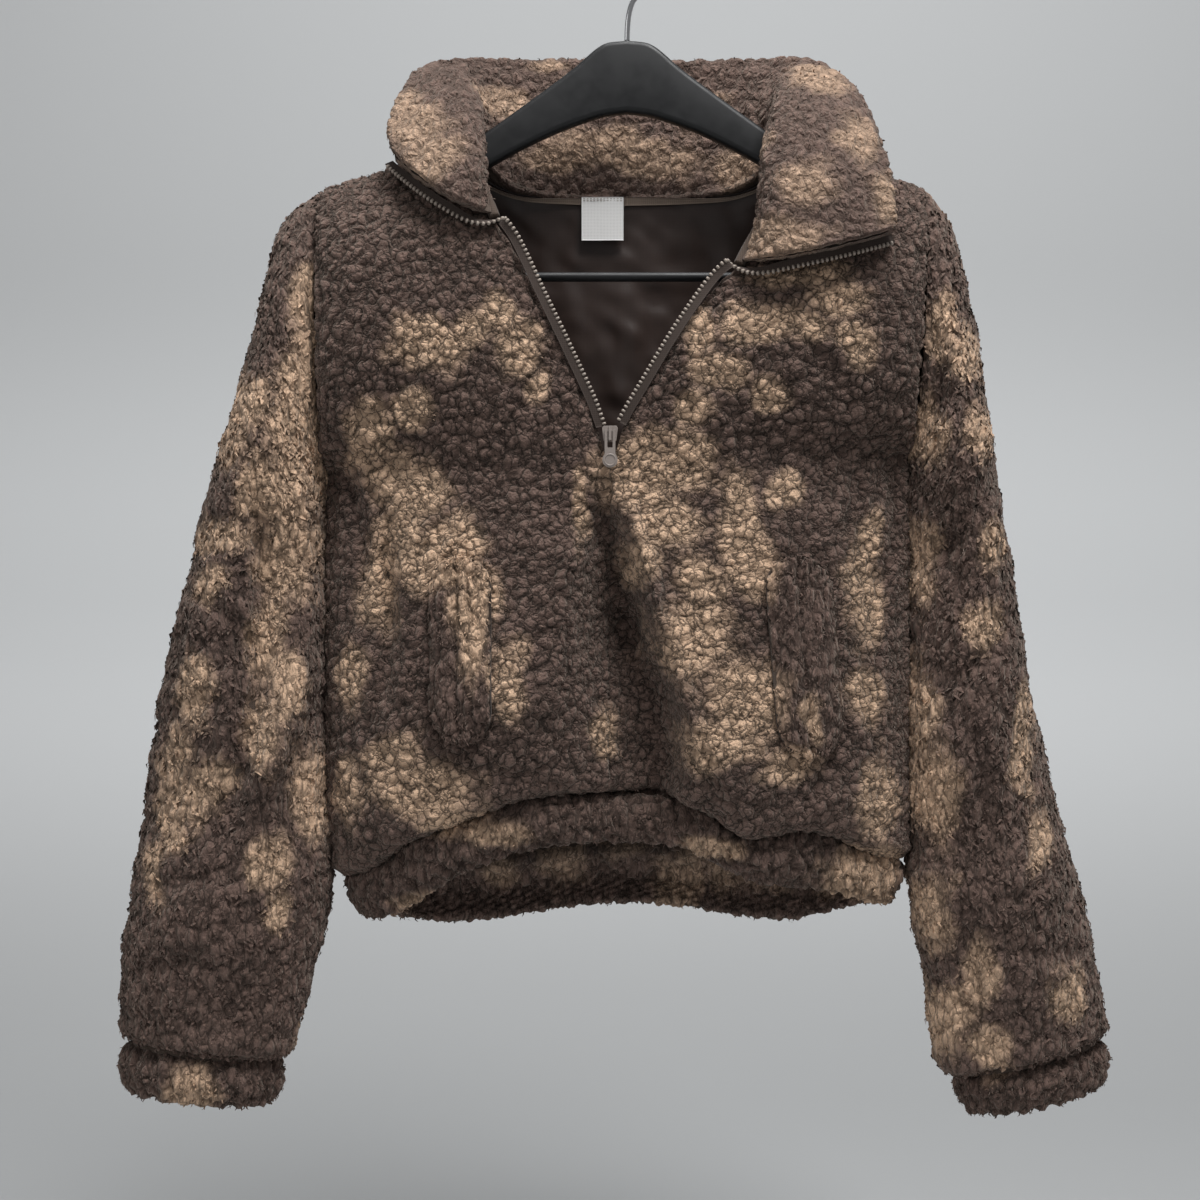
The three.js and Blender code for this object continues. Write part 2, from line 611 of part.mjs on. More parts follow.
// A closed wall on one or more sheets. outside and inside are the distances of its two faces from the sheet.
function wall(sheets, outward, outside, inside, inset = SEAM_INSET) {
  const loops = sheets.flatMap(cells);
  const numbers = new Map();
  const places = [];
  const pulls = [];
  const numberOf = (p) => {
    const key = keyOf(p);
    if (!numbers.has(key)) {
      numbers.set(key, places.length);
      places.push({ point: p, out: outward.get(key) });
      pulls.push([]);
    }
    return numbers.get(key);
  };
  const faces = loops.map((loop) => loop.map(numberOf));
  const edges = new Set(faces.flatMap((face) => face.map((a, i) => `${a} ${face[(i + 1) % 4]}`)));
  const rim = [];
  for (const face of faces) {
    const centre = face.reduce((sum, a) => sum.add(places[a].point), vector(0, 0, 0)).multiplyScalar(0.25);
    face.forEach((a, i) => {
      const b = face[(i + 1) % 4];
      if (!edges.has(`${b} ${a}`)) {
        const along = vector(0, 0, 0).subVectors(places[b].point, places[a].point).normalize();
        const inwards = vector(0, 0, 0).subVectors(centre, places[a].point);
        inwards.addScaledVector(along, -inwards.dot(along)).normalize();
        pulls[a].push(inwards);
        pulls[b].push(inwards);
        rim.push([a, b]);
      }
    });
  }
  const pull = pulls.map((list) => {
    const sum = list.reduce((all, one) => all.add(one), vector(0, 0, 0));
    return list.length === 0 ? sum : sum.multiplyScalar(list.length / Math.max(sum.lengthSq(), 1));
  });
  const positions = [];
  for (const depthAt of [outside, inside]) {
    places.forEach(({ point, out }, a) => {
      const moved = point.clone().addScaledVector(out, depthAt(point));
      moved.addScaledVector(pull[a], inset);
      positions.push(moved.x, moved.y, moved.z);
    });
  }
  const count = places.length;
  const triangles = [];
  for (const [a, b, c, d] of faces) {
    triangles.push(a, b, c, a, c, d, a + count, c + count, b + count, a + count, d + count, c + count);
  }
  for (const [a, b] of rim) {
    if (keyOf(places[a].point) < keyOf(places[b].point)) {
      triangles.push(b, a, a + count, b, a + count, b + count);
    } else {
      triangles.push(a, b + count, b, a, a + count, b + count);
    }
  }
  return solid(positions, triangles);
}

// The body point of the front at a place in the front view.
function frontAt(x, z) {
  const half = x < SLIT_END.x ? LEFT : RIGHT;
  let low = 0;
  let high = 1;
  let found = null;
  for (let i = 0; i < 24; i += 1) {
    const t = (low + high) / 2;
    const side = through(half.side, 'at', 'x', t);
    const q = ((x - side) / (SLIT_END.x - side)) ** (1 / EDGE_CROWDING);
    found = lowerPoint(half, 'front', q, t);
    if (found.z > z) {
      low = t;
    } else {
      high = t;
    }
  }
  return found;
}

// A pocket welt's sheet: a long strip with half-round ends that lies on the front.
function weltGrid(welt) {
  const rows = 12;
  const columns = 6;
  const radius = welt.width / 2;
  const halfLength = (welt.topZ - welt.bottomZ) / 2;
  return grid(rows, columns, true, (r, c) => {
    const along = -Math.cos(Math.PI * r / rows) * halfLength * 0.995;
    const past = Math.max(0, Math.abs(along) - halfLength + radius);
    const reach = Math.sqrt(radius ** 2 - past ** 2) * (2 * c / columns - 1);
    const middle = mix(welt.topX, welt.bottomX, along / halfLength / 2 + 0.5);
    return frontAt(middle + reach, (welt.topZ + welt.bottomZ) / 2 - along);
  });
}

// The neck tape's sheet for one half of the back, right under the neck seam.
function neckTapeGrid(half) {
  const turn = SHOULDER_STEPS / HALF_COLUMNS;
  const columns = BACK_NECK_STEPS - 1;
  return grid(1, columns, half === RIGHT, (r, c) => {
    const q = mix(turn + (1 - turn) / BACK_NECK_STEPS, 1, c / columns);
    return upperPoint(half, 'back', q, NECK_TAPE.down * (r + 0.1));
  });
}

// A closed bar through rings of four corners each.
function bar(rings) {
  const positions = rings.flat().flatMap((p) => [p.x, p.y, p.z]);
  const triangles = [0, 2, 1, 0, 3, 2];
  for (let r = 0; r + 1 < rings.length; r += 1) {
    for (let k = 0; k < 4; k += 1) {
      const a = 4 * r + k;
      const b = 4 * r + ((k + 1) % 4);
      triangles.push(a, b, b + 4, a, b + 4, a + 4);
    }
  }
  const end = 4 * (rings.length - 1);
  triangles.push(end, end + 1, end + 2, end, end + 2, end + 3);
  return solid(positions, triangles);
}

// One side's zip tape: up the slit beside the fleece's edge and out along the collar's front edge.
function zipTape(half) {
  const left = half === LEFT;
  const turn = FRONT_NECK_STEPS / ARMHOLE_STEPS;
  const stations = [];
  for (let i = 0; i < ZIP.slit; i += 1) {
    const at = half.zipEnd * (1 - i / ZIP.slit);
    const t = mix(turn, 1, at);
    const edge = upperPoint(half, 'front', 1, t);
    const inside = upperPoint(half, 'front', 0.96, t);
    const next = upperPoint(half, 'front', 1, t - 0.01);
    const sunk = mix(ZIP.sunk, -ZIP.proud, at ** 2);
    stations.push({ edge, inside, next, sunk });
  }
  for (let i = 0; i <= ZIP.flap; i += 1) {
    const v = 0.995 * i / ZIP.flap;
    const edge = collarPoint(left ? 0 : 1, v);
    const inside = collarPoint(left ? 0.01 : 0.99, v);
    const next = collarPoint(left ? 0 : 1, v + 0.005);
    stations.push({ edge, inside, next, sunk: ZIP.sunk });
  }
  for (const station of stations) {
    const along = station.next.clone().sub(station.edge).normalize();
    const away = station.edge.clone().sub(station.inside);
    away.addScaledVector(along, -away.dot(along)).normalize();
    station.along = along;
    station.away = away;
  }
  for (let pass = 0; pass < ZIP.smoothing; pass += 1) {
    const before = stations.map((station) => station.away.clone());
    for (let i = 1; i + 1 < stations.length; i += 1) {
      const { along, away } = stations[i];
      away.add(before[i - 1]).add(before[i + 1]);
      away.addScaledVector(along, -away.dot(along)).normalize();
    }
  }
  const rings = stations.map(({ edge, along, away, sunk }, i) => {
    const off = ZIP.off + ZIP.cornerOff * Math.exp(-(((i - ZIP.slit) / 3) ** 2));
    const out = along.clone().cross(away).multiplyScalar(left ? 1 : -1);
    const corner = (across, up) => edge.clone().addScaledVector(away, across).addScaledVector(out, up - sunk);
    const low = -ZIP.wall / 2;
    const high = ZIP.wall / 2;
    const far = off + ZIP.tape;
    const loop = [corner(off, low), corner(far, low), corner(far, high), corner(off, high)];
    return left ? loop : loop.reverse();
  });
  return bar(rings);
}

// A three.js geometry as a manifold solid, and back.
function toManifold(geometry) {
  const bare = geometry.clone();
  bare.deleteAttribute('normal');
  bare.deleteAttribute('uv');
  const merged = mergeVertices(bare, 1e-4);
  return new wasm.Manifold(new wasm.Mesh({
    numProp: 3,
    vertProperties: merged.attributes.position.array,
    triVerts: Uint32Array.from(merged.index.array),
  }));
}

function join(geometries) {
  const joined = geometries.map(toManifold).reduce((all, one) => all.add(one));
  const mesh = joined.getMesh();
  return solid(Array.from(mesh.vertProperties), Array.from(mesh.triVerts));
}

function block(x0, x1, y0, y1, z0, z1) {
  const box = new THREE.BoxGeometry(x1 - x0, y1 - y0, z1 - z0);
  return box.translate((x0 + x1) / 2, (y0 + y1) / 2, (z0 + z1) / 2);
}

// A shape drawn in the front view, with its front face at y and its back face at y + depth.
function slabOf(shape, y, depth, options = {}) {
  const geometry = new THREE.ExtrudeGeometry(shape, { depth, bevelEnabled: false, curveSegments: 8, ...options });
  return geometry.rotateX(Math.PI / 2).translate(0, y + depth, 0);
}

// Two plates joined by a post between the tapes, and the bridge that carries the pull.
function sliderSolid() {
  const { x, y, top, height, topWidth, bottomWidth, plate, channel } = SLIDER;
  const outline = new THREE.Shape([
    new THREE.Vector2(x - topWidth / 2 + 1, top),
    new THREE.Vector2(x + topWidth / 2 - 1, top),
    new THREE.Vector2(x + topWidth / 2, top - 1.5),
    new THREE.Vector2(x + bottomWidth / 2, top - height + 1),
    new THREE.Vector2(x + bottomWidth / 2 - 1, top - height),
    new THREE.Vector2(x - bottomWidth / 2 + 1, top - height),
    new THREE.Vector2(x - bottomWidth / 2, top - height + 1),
    new THREE.Vector2(x - topWidth / 2, top - 1.5),
  ]);
  const front = y - channel / 2 - plate;
  const low = BRIDGE.top - BRIDGE.height;
  const [left, right] = [x - BRIDGE.width / 2, x + BRIDGE.width / 2];
  return join([
    slabOf(outline, front, plate),
    slabOf(outline, y + channel / 2, plate),
    block(x - POST.width / 2, x + POST.width / 2, front + 0.5, y + channel / 2 + 0.5, top - 1 - POST.height, top - 1),
    block(left, right, front - BRIDGE.rise, front + 0.5, BRIDGE.top - 1.2, BRIDGE.top),
    block(left, right, front - BRIDGE.rise, front + 0.5, low, low + 1.2),
    block(left, right, front - BRIDGE.rise, front - BRIDGE.rise + BRIDGE.wall, low, BRIDGE.top),
  ]);
}

// The pull about its own hinge axis: a strap with a slot for the bridge and a round end.
function pullSolid() {
  const half = PULL.width / 2;
  const rim = PULL.wall / 2;
  const eye = PULL.eye / 2;
  const middle = -(PULL.length - eye);
  const bend = Math.asin(half / eye);
  const shape = new THREE.Shape();
  shape.moveTo(-half, rim);
  shape.lineTo(half, rim);
  shape.lineTo(half, middle + eye * Math.cos(bend));
  shape.absarc(0, middle, eye, Math.PI / 2 - bend, Math.PI / 2 + bend, true);
  shape.lineTo(-half, rim);
  const slot = new THREE.Path();
  slot.moveTo(-PULL.slot / 2, -rim);
  slot.lineTo(-PULL.slot / 2, -PULL.slotLength);
  slot.lineTo(PULL.slot / 2, -PULL.slotLength);
  slot.lineTo(PULL.slot / 2, -rim);
  shape.holes.push(slot);
  return slabOf(shape, -rim, PULL.wall);
}

function hangerBody() {
  const right = [...HANGER_TOP, ...HANGER_BELOW];
  const left = right.slice(1).reverse().map(([x, z]) => [-x, z]);
  const outline = [...right, [0, HANGER_INNER_PEAK], ...left].map(([x, z]) => new THREE.Vector2(x, z));
  return slabOf(new THREE.Shape(outline), -HANGER_WALL / 2 + HANGER_ROUND, HANGER_WALL - 2 * HANGER_ROUND, {
    bevelEnabled: true,
    bevelThickness: HANGER_ROUND,
    bevelSize: HANGER_ROUND,
    bevelOffset: -HANGER_ROUND,
    bevelSegments: 2,
  });
}

function hangerBar() {
  const rod = new THREE.CylinderGeometry(BAR.diameter / 2, BAR.diameter / 2, 2 * BAR.reach, 12);
  rod.rotateZ(Math.PI / 2).translate(0, 0, BAR.z);
  const posts = [-BAR.reach, BAR.reach].map((x) => {
    const height = BAR.postTop - BAR.z;
    const post = new THREE.CylinderGeometry(BAR.diameter / 2, BAR.diameter / 2, height, 12);
    return post.rotateX(Math.PI / 2).translate(x, 0, BAR.z + height / 2);
  });
  return join([rod, ...posts]);
}

function hangerHook() {
  const middle = -HOOK.radius + HOOK.wire / 2;
  const points = HOOK.stem.map(([x, z]) => vector(x, 0, z));
  for (let degrees = -52; degrees <= 204; degrees += 16) {
    const angle = THREE.MathUtils.degToRad(degrees);
    points.push(vector(HOOK.radius * Math.cos(angle), 0, middle + HOOK.radius * Math.sin(angle)));
  }
  const section = new THREE.Shape();
  section.absarc(0, 0, HOOK.wire / 2, 0, 2 * Math.PI);
  return new THREE.ExtrudeGeometry(section, {
    extrudePath: new THREE.CatmullRomCurve3(points),
    steps: 32,
    curveSegments: 4,
    bevelEnabled: false,
  });
}

function solid(positions, triangles) {
  const geometry = new THREE.BufferGeometry();
  geometry.setAttribute('position', new THREE.Float32BufferAttribute(positions, 3));
  geometry.setIndex(triangles);
  return geometry;
}

const pullover = new THREE.Group();
pullover.name = 'pullover_on_hanger';

function add(name, geometry, look, parent = pullover) {
  const mesh = new THREE.Mesh(geometry, new THREE.MeshStandardMaterial(look));
  mesh.name = name;
  parent.add(mesh);
  return mesh;
}

// Fleece pieces
const frontHalves = [bodyHalf(LEFT, 'front'), bodyHalf(RIGHT, 'front')];
const backHalves = [bodyHalf(LEFT, 'back'), bodyHalf(RIGHT, 'back')];
const sleeves = [LEFT, RIGHT].map(sleeveGrid);
const cuffs = [LEFT, RIGHT].map(cuffGrid);
const band = bandGrid();
const collar = collarGrid();
const outward = directions([...frontHalves, ...backHalves, ...sleeves, ...cuffs, band, collar]);
const atPileTips = () => 0;
const atFleeceBack = () => -FLEECE;
const atBandBack = () => -BAND;

add('front', wall(frontHalves, outward, atPileTips, atFleeceBack), CLOTH);
add('back', wall(backHalves, outward, atPileTips, atFleeceBack), CLOTH);
add('sleeve_left', wall([sleeves[0]], outward, atPileTips, atFleeceBack), CLOTH);
add('sleeve_right', wall([sleeves[1]], outward, atPileTips, atFleeceBack), CLOTH);
add('cuff_left', wall([cuffs[0]], outward, atPileTips, atBandBack), TAN);
add('cuff_right', wall([cuffs[1]], outward, atPileTips, atBandBack), TAN);
add('hem_band', wall([band], outward, atPileTips, atBandBack), TAN);
const collarDepth = (point) => {
  const fromFront = Math.min(point.across, 1 - point.across);
  const foot = COLLAR_FOOT * Math.min(1, 0.2 + 8 * fromFront);
  return -mix(foot, COLLAR, Math.min(1, point.down * 3));
};
add('collar', wall([collar], outward, atPileTips, collarDepth, COLLAR_INSET), TAN);

// Panels and strips inside
const part = (sheet, rows, columns) => ({
  points: sheet.points.slice(rows[0], rows[1] + 1).map((line) => line.slice(columns[0], columns[1] + 1)),
  flip: sheet.flip,
});
const liningOut = () => -FLEECE - LINING_BEHIND_FLEECE;
const liningIn = () => -FLEECE - LINING_BEHIND_FLEECE - LINING;
const backLinings = backHalves.map((sheet) => part(sheet, [0, ARMHOLE_STEPS], [SHOULDER_STEPS + 2, HALF_COLUMNS]));
add('lining_back', wall(backLinings, outward, liningOut, liningIn), SATIN);
frontHalves.forEach((sheet, i) => {
  const facing = part(sheet, [FRONT_NECK_STEPS, ARMHOLE_STEPS], [HALF_COLUMNS - 4, HALF_COLUMNS]);
  add(`lining_front_${i === 0 ? 'left' : 'right'}`, wall([facing], outward, liningOut, liningIn), SATIN);
});

const tapeHalves = [LEFT, RIGHT].map(neckTapeGrid);
const tapeOut = () => NECK_TAPE.outside;
const tapeIn = () => NECK_TAPE.inside;
add('neck_tape', wall(tapeHalves, directions(tapeHalves), tapeOut, tapeIn), TAPE);
const label = add('label', new THREE.BoxGeometry(LABEL.width, LABEL.wall, LABEL.height), WHITE);
label.position.set(LABEL.x, LABEL.y, LABEL.top - LABEL.height / 2);

// Pocket welts
for (const welt of WELTS) {
  const sheet = weltGrid(welt);
  const dome = ({ across, down }) => {
    const side = 2 * across - 1;
    const end = 2 * down - 1;
    return WELT_CLEARANCE + welt.height * (1 - 0.7 * Math.max(side ** 4, end ** 12));
  };
  add(welt.name, wall([sheet], directions([sheet]), dome, () => WELT_CLEARANCE, 0), CLOTH);
}

// Zip
add('zip_tape_left', zipTape(LEFT), TAPE);
add('zip_tape_right', zipTape(RIGHT), TAPE);
add('zip_slider', sliderSolid(), PAINTED_ZIP);
const pullHinge = new THREE.Group();
pullHinge.position.set(SLIDER.x, PULL_AXIS.y, PULL_AXIS.z);
pullover.add(pullHinge);
add('zip_pull', pullSolid(), PAINTED_ZIP, pullHinge);

// Hanger
add('hanger', hangerBody(), BLACK);
add('hanger_bar', hangerBar(), BLACK);
add('hanger_hook', hangerHook(), STEEL);

export default pullover;
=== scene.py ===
"""A cropped half-zip sherpa fleece pullover that hangs open at the neck on a plastic hanger with a wire hook.

Shapes are worked out in millimetres and made in metres. X is the viewer's right, -Y the front, +Z up, and the origin
is the inside top of the hook. Every panel is a grid of points between its seams. A curve through table values is a
cubic that leaves each value with the slope between its two neighbours. Each panel has a knitted ground, a thin
closed shell, and on it the pile: the same grid at about 2 mm, moved along its own direction by cell noise (the
clumps), by soft creases and by a trough along each seam, with loose locks of wool standing on it.
"""
import math

import bmesh
import bpy
import numpy as np
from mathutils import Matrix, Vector


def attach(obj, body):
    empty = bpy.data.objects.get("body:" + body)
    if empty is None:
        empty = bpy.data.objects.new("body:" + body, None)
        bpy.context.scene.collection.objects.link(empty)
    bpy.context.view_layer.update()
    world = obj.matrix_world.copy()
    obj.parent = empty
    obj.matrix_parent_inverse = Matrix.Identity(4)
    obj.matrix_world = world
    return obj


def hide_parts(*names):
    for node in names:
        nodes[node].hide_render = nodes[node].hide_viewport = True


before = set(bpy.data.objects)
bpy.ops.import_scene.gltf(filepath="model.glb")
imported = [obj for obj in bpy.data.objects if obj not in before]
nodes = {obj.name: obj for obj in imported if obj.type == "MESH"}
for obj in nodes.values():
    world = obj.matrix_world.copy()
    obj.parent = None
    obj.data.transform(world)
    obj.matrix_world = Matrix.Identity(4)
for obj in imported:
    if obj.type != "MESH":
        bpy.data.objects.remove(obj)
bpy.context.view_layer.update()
scene = bpy.context.scene

# --- Camera ------------------------------------------------------------------------------------------------------
# Level and straight on. All in mm: the distance to the garment's middle plane, and how much of that plane fills the
# width of the frame.
DISTANCE, FRAME_WIDTH, SENSOR = 1150, 888, 36
camera = bpy.data.objects.new("camera", bpy.data.cameras.new("camera"))
camera.location = (-0.020, -DISTANCE / 1000, -0.478)
camera.rotation_euler = (math.pi / 2, 0, 0)
camera.data.sensor_width = SENSOR
camera.data.lens = SENSOR * DISTANCE / FRAME_WIDTH
scene.collection.objects.link(camera)
scene.camera = camera


# --- Curves and noise --------------------------------------------------------------------------------------------
# Small tools that the pieces share: cubic curves through tables, value noise, and cells for the clumps of pile.
def curve(keys, values, at):
    """The value at each place of a cubic through the values at the keys."""
    keys, values, at = (np.asarray(v, float) for v in (keys, values, at))
    last = len(keys) - 1
    i = np.clip(np.searchsorted(keys, at, side="left") - 1, 0, last - 1)
    k = np.arange(last + 1)
    after, before = np.minimum(k + 1, last), np.maximum(k - 1, 0)
    slopes = (values[after] - values[before]) / (keys[after] - keys[before])
    span = keys[i + 1] - keys[i]
    t = np.clip((at - keys[i]) / span, 0, 1)
    rise = t * t * (3 - 2 * t)
    bend = t * (1 - t) ** 2 * slopes[i] * span + t * t * (t - 1) * slopes[i + 1] * span
    return values[i] + (values[i + 1] - values[i]) * rise + bend


def column(rows, which, at):
    """The curve through one column of a table whose first column has the keys."""
    table = np.array(rows, float)
    return curve(table[:, 0], table[:, which], at)


def xyz(x, y, z):
    return np.stack(np.broadcast_arrays(x, y, z), axis=-1).astype(float)


def point_through(rows, at):
    return xyz(column(rows, 1, at), column(rows, 2, at), column(rows, 3, at))


def mix(a, b, t):
    return a + (b - a) * t


def smooth(t):
    t = np.clip(t, 0, 1)
    return t * t * (3 - 2 * t)


def bell(distance, wide):
    return np.exp(-(distance / wide) ** 2)


def unit(v):
    return v / np.maximum(np.linalg.norm(v, axis=-1, keepdims=True), 1e-9)


def run_of(points):
    """The distance along a line of points from its first to each."""
    return np.concatenate([[0], np.cumsum(np.linalg.norm(np.diff(points, axis=0), axis=-1))])


def respaced(points, count):
    """That many points in equal steps along the curve through the given ones."""
    run = run_of(points)
    at = np.linspace(0, run[-1], count)
    return np.stack([curve(run, line, at) for line in points.T], axis=-1)


def scatter(cell, seed):
    """Three even random numbers for every whole-number cell."""
    cell = cell.astype(np.int64)
    h = cell[..., 0] * 73856093 ^ cell[..., 1] * 19349663 ^ cell[..., 2] * 83492791 ^ (seed * 2654435761)
    out = []
    for shift in (0, 1, 2):
        h = (h ^ (h >> 13)) * 1274126177 & 0x7FFFFFFF
        h = (h ^ (h >> 11)) * (668265263 + 2 * shift) & 0x7FFFFFFF
        out.append((h & 0xFFFFF) / 0xFFFFF)
    return np.stack(out, axis=-1)


def noise(p, size, seed):
    """Smooth noise from -1 to 1 with features of that size."""
    p = np.asarray(p, float) / size
    base = np.floor(p)
    f = smooth(p - base)
    total = 0
    for corner in np.ndindex(2, 2, 2):
        weight = np.prod(np.where(np.array(corner) == 1, f, 1 - f), axis=-1)
        total = total + weight * scatter(base + corner, seed)[..., 0]
    return 2 * total - 1


def cells(p, size, seed):
    """Distances to the nearest and second nearest of the scattered points, in units of their spacing."""
    p = np.asarray(p, float) / size
    base = np.floor(p)
    first = np.full(p.shape[:-1], 9.0)
    second = first.copy()
    for step in np.ndindex(3, 3, 3):
        near = base + np.array(step) - 1
        far = np.linalg.norm(near + 0.1 + 0.8 * scatter(near, seed) - p, axis=-1)
        second = np.minimum(second, np.maximum(first, far))
        first = np.minimum(first, far)
    return first, second


# --- The garment's form ------------------------------------------------------------------------------------------
# Seams and edges as the two halves show them, left and right. "at" runs from 0 to 1 along each. The body is a patch
# between shoulder, armhole and neck down to the armpits, and below them a squared oval down to the hem seam.
SLIT_END = (-13, -58, -386)
BACK_MIDDLE = (-5, 60, -378)
MIDDLE = {"front": SLIT_END, "back": BACK_MIDDLE}
ARMHOLE_ROWS, SIDE_ROWS = 12, 12
SHOULDER_SHARE = 6 / 13
NECK_SHARE = 4 / 12
SQUARENESS, EDGE_CROWDING, SWELL_FADE = 2.4, 1.3, 3.5
LEFT = {
    "sign": -1,
    "shoulder": [(0, -226, -177), (0.25, -200, -168), (0.5, -174, -158), (0.75, -147, -143), (1, -118, -122)],
    "neckline": [(0, -118, 0, -122), (0.35, -115, -25, -150), (0.7, -107, -44, -182), (1, -96, -56, -207)],
    "back_neck": [(0, -118, 0, -122), (0.25, -110, 21, -147), (0.5, -84, 36, -162), (0.75, -44, 46, -167),
                  (1, 0, 49, -169)],
    "zip_edge": [(0, -96, -56, -207), (0.15, -82, -59, -228), (0.4, -63, -62, -266), (0.7, -41, -62, -311),
                 (0.9, -23, -60, -351), (0.95, -19, -59, -368), (1, *SLIT_END)],
    "side": [(0, -221, -384), (0.33, -221, -484), (0.66, -221, -585), (0.9, -218, -652), (1, -207, -680)],
    # at, outermost x and z, innermost x and z, half depth, how far back the middle lies
    "sleeve": [(0, -226, -177, -221, -384, 42, 0), (0.07, -252, -197, -224, -389, 51, 3),
               (0.14, -264, -232, -225, -396, 56, 5), (0.23, -278, -284, -226, -407, 59, 6),
               (0.32, -292, -340, -226, -426, 60, 6), (0.41, -308, -394, -226, -454, 59, 5),
               (0.5, -321, -452, -225, -495, 56, 3), (0.59, -335, -511, -225, -544, 52, 0),
               (0.68, -347, -573, -225, -597, 49, -3), (0.78, -356, -640, -222, -660, 46, -5),
               (0.87, -365, -702, -228, -716, 43, -6), (0.94, -371, -752, -239, -766, 40, -6),
               (0.98, -371, -788, -250, -800, 35, -6), (1, -366, -800, -257, -812, 29, -6)],
    "zip_end": 0.92,
    "cuff_end": (-367, -837, -262, -847, 27, -6),
}
RIGHT = {
    "sign": 1,
    "shoulder": [(0, 218, -174), (0.25, 196, -167), (0.5, 172, -157), (0.75, 147, -143), (1, 118, -122)],
    "neckline": [(0, 118, 0, -122), (0.35, 113, -25, -158), (0.7, 99, -44, -204), (1, 80, -56, -240)],
    "back_neck": [(0, 118, 0, -122), (0.25, 110, 21, -147), (0.5, 84, 36, -162), (0.75, 44, 46, -167),
                  (1, 0, 49, -169)],
    "zip_edge": [(0, 80, -56, -240), (0.15, 63, -59, -255), (0.4, 39, -62, -286), (0.7, 14, -62, -326),
                 (0.9, -3, -60, -355), (0.95, -7, -59, -368), (1, *SLIT_END)],
    "side": [(0, 206, -372), (0.33, 206, -470), (0.66, 206, -570), (0.9, 206, -638), (1, 201, -667)],
    "sleeve": [(0, 218, -174, 206, -372, 42, 0), (0.07, 238, -202, 210, -377, 52, 3),
               (0.14, 248, -242, 210, -384, 58, 6), (0.23, 257, -290, 210, -396, 63, 8),
               (0.32, 265, -344, 210, -415, 66, 8), (0.41, 273, -400, 210, -444, 66, 7),
               (0.5, 282, -456, 210, -487, 63, 5), (0.59, 289, -515, 210, -540, 59, 3),
               (0.68, 302, -575, 210, -598, 55, 0), (0.78, 320, -641, 211, -661, 50, -3),
               (0.87, 335, -706, 218, -722, 45, -4), (0.94, 347, -760, 227, -778, 41, -4),
               (0.98, 351, -790, 234, -812, 35, -4), (1, 347, -800, 243, -824, 29, -4)],
    "zip_end": 0.9,
    "cuff_end": (350, -832, 254, -856, 27, -4),
}
# at from the armpits down, depth of the front, depth of the back
DEPTH = [(0, 58, 60), (0.06, 58.1, 60), (0.25, 65, 61.5), (0.5, 71, 62), (0.75, 74, 60), (0.92, 68, 56), (1, 54, 46)]
SEAM = {
    "front": [(-207, -680), (-155, -653), (-110, -634), (-69, -620), (22, -620), (56, -632), (84, -648),
              (124, -644), (160, -653), (201, -667)],
    "back": [(-207, -680), (-130, -688), (0, -676), (130, -684), (201, -667)],
}
EDGE = {
    "front": [(-192, -714), (-160, -702), (-110, -671), (-48, -655), (20, -654), (51, -662), (90, -681),
              (147, -690), (192, -704)],
    "back": [(-192, -714), (-130, -724), (0, -711), (120, -722), (192, -704)],
}
BAND_REACH, BAND_DEPTH, BULGE = 192, {"front": 48, "back": 42}, 6
# The sunk fold below the zip: distance down, left ridge, right ridge, depth
FOLD = [(392, -22, -12, 0), (430, -36, -7, 9), (478, -58, 9, 21), (548, -80, 36, 30), (620, -86, 58, 22),
        (720, -90, 66, 0)]
# Soft swellings and hollows: x, z, reach across, reach down, height
SWELLS = {
    "front": [(-88, -545, 20, 42, 7), (72, -600, 24, 45, 8), (-150, -640, 40, 22, 6), (140, -625, 42, 20, 6),
              (-175, -455, 14, 60, -9), (-152, -420, 12, 50, 5), (172, -450, 14, 60, -6), (-40, -425, 18, 50, 4)],
    "back": [(-95, -430, 16, 130, 7), (-60, -450, 14, 120, -8), (20, -500, 18, 110, 6), (60, -440, 14, 130, -7),
             (105, -470, 18, 120, 6), (160, -430, 14, 70, -6), (-160, -440, 14, 70, -6)],
}
# Along, round in turns from the outer edge by the front, reach of each, height
SLEEVE_SWELLS = [(0.3, 0.2, 0.1, 0.08, 6), (0.45, 0.32, 0.08, 0.08, -7), (0.55, 0.15, 0.1, 0.07, 5),
                 (0.66, 0.3, 0.07, 0.1, 6), (0.74, 0.22, 0.05, 0.12, -5), (0.85, 0.25, 0.06, 0.12, 5),
                 (0.4, 0.7, 0.09, 0.09, 6), (0.52, 0.8, 0.08, 0.09, -6), (0.7, 0.72, 0.07, 0.12, 5)]
# The collar's top edge and the point its side profile bends towards: at, x, y, z, bend x, y, z
COLLAR = [(0, -169, -46, -163, -122, -84, -212), (0.07, -173, -32, -146, -100, -76, -178),
          (0.15, -170, -10, -124, -98, -46, -126), (0.25, -158, 22, -89, -112, 0, -88),
          (0.33, -132, 46, -68, -108, 30, -98), (0.41, -84, 64, -59, -74, 52, -112), (0.5, 0, 70, -59, 0, 64, -118),
          (0.59, 84, 64, -60, 74, 52, -112), (0.67, 132, 46, -69, 108, 30, -98), (0.75, 158, 22, -91, 110, -2, -86),
          (0.84, 178, -20, -138, 90, -58, -118), (0.92, 187, -53, -186, 84, -88, -178),
          (1, 186, -66, -222, 106, -96, -250)]


def swell(face, x, z):
    """The sum of that face's swellings: each is its height times a bell curve across and down."""
    total = np.zeros(np.broadcast(x, z).shape)
    for mx, mz, across, down, height in SWELLS[face]:
        total = total + height * np.exp(-((x - mx) / across) ** 2 - ((z - mz) / down) ** 2)
    return total


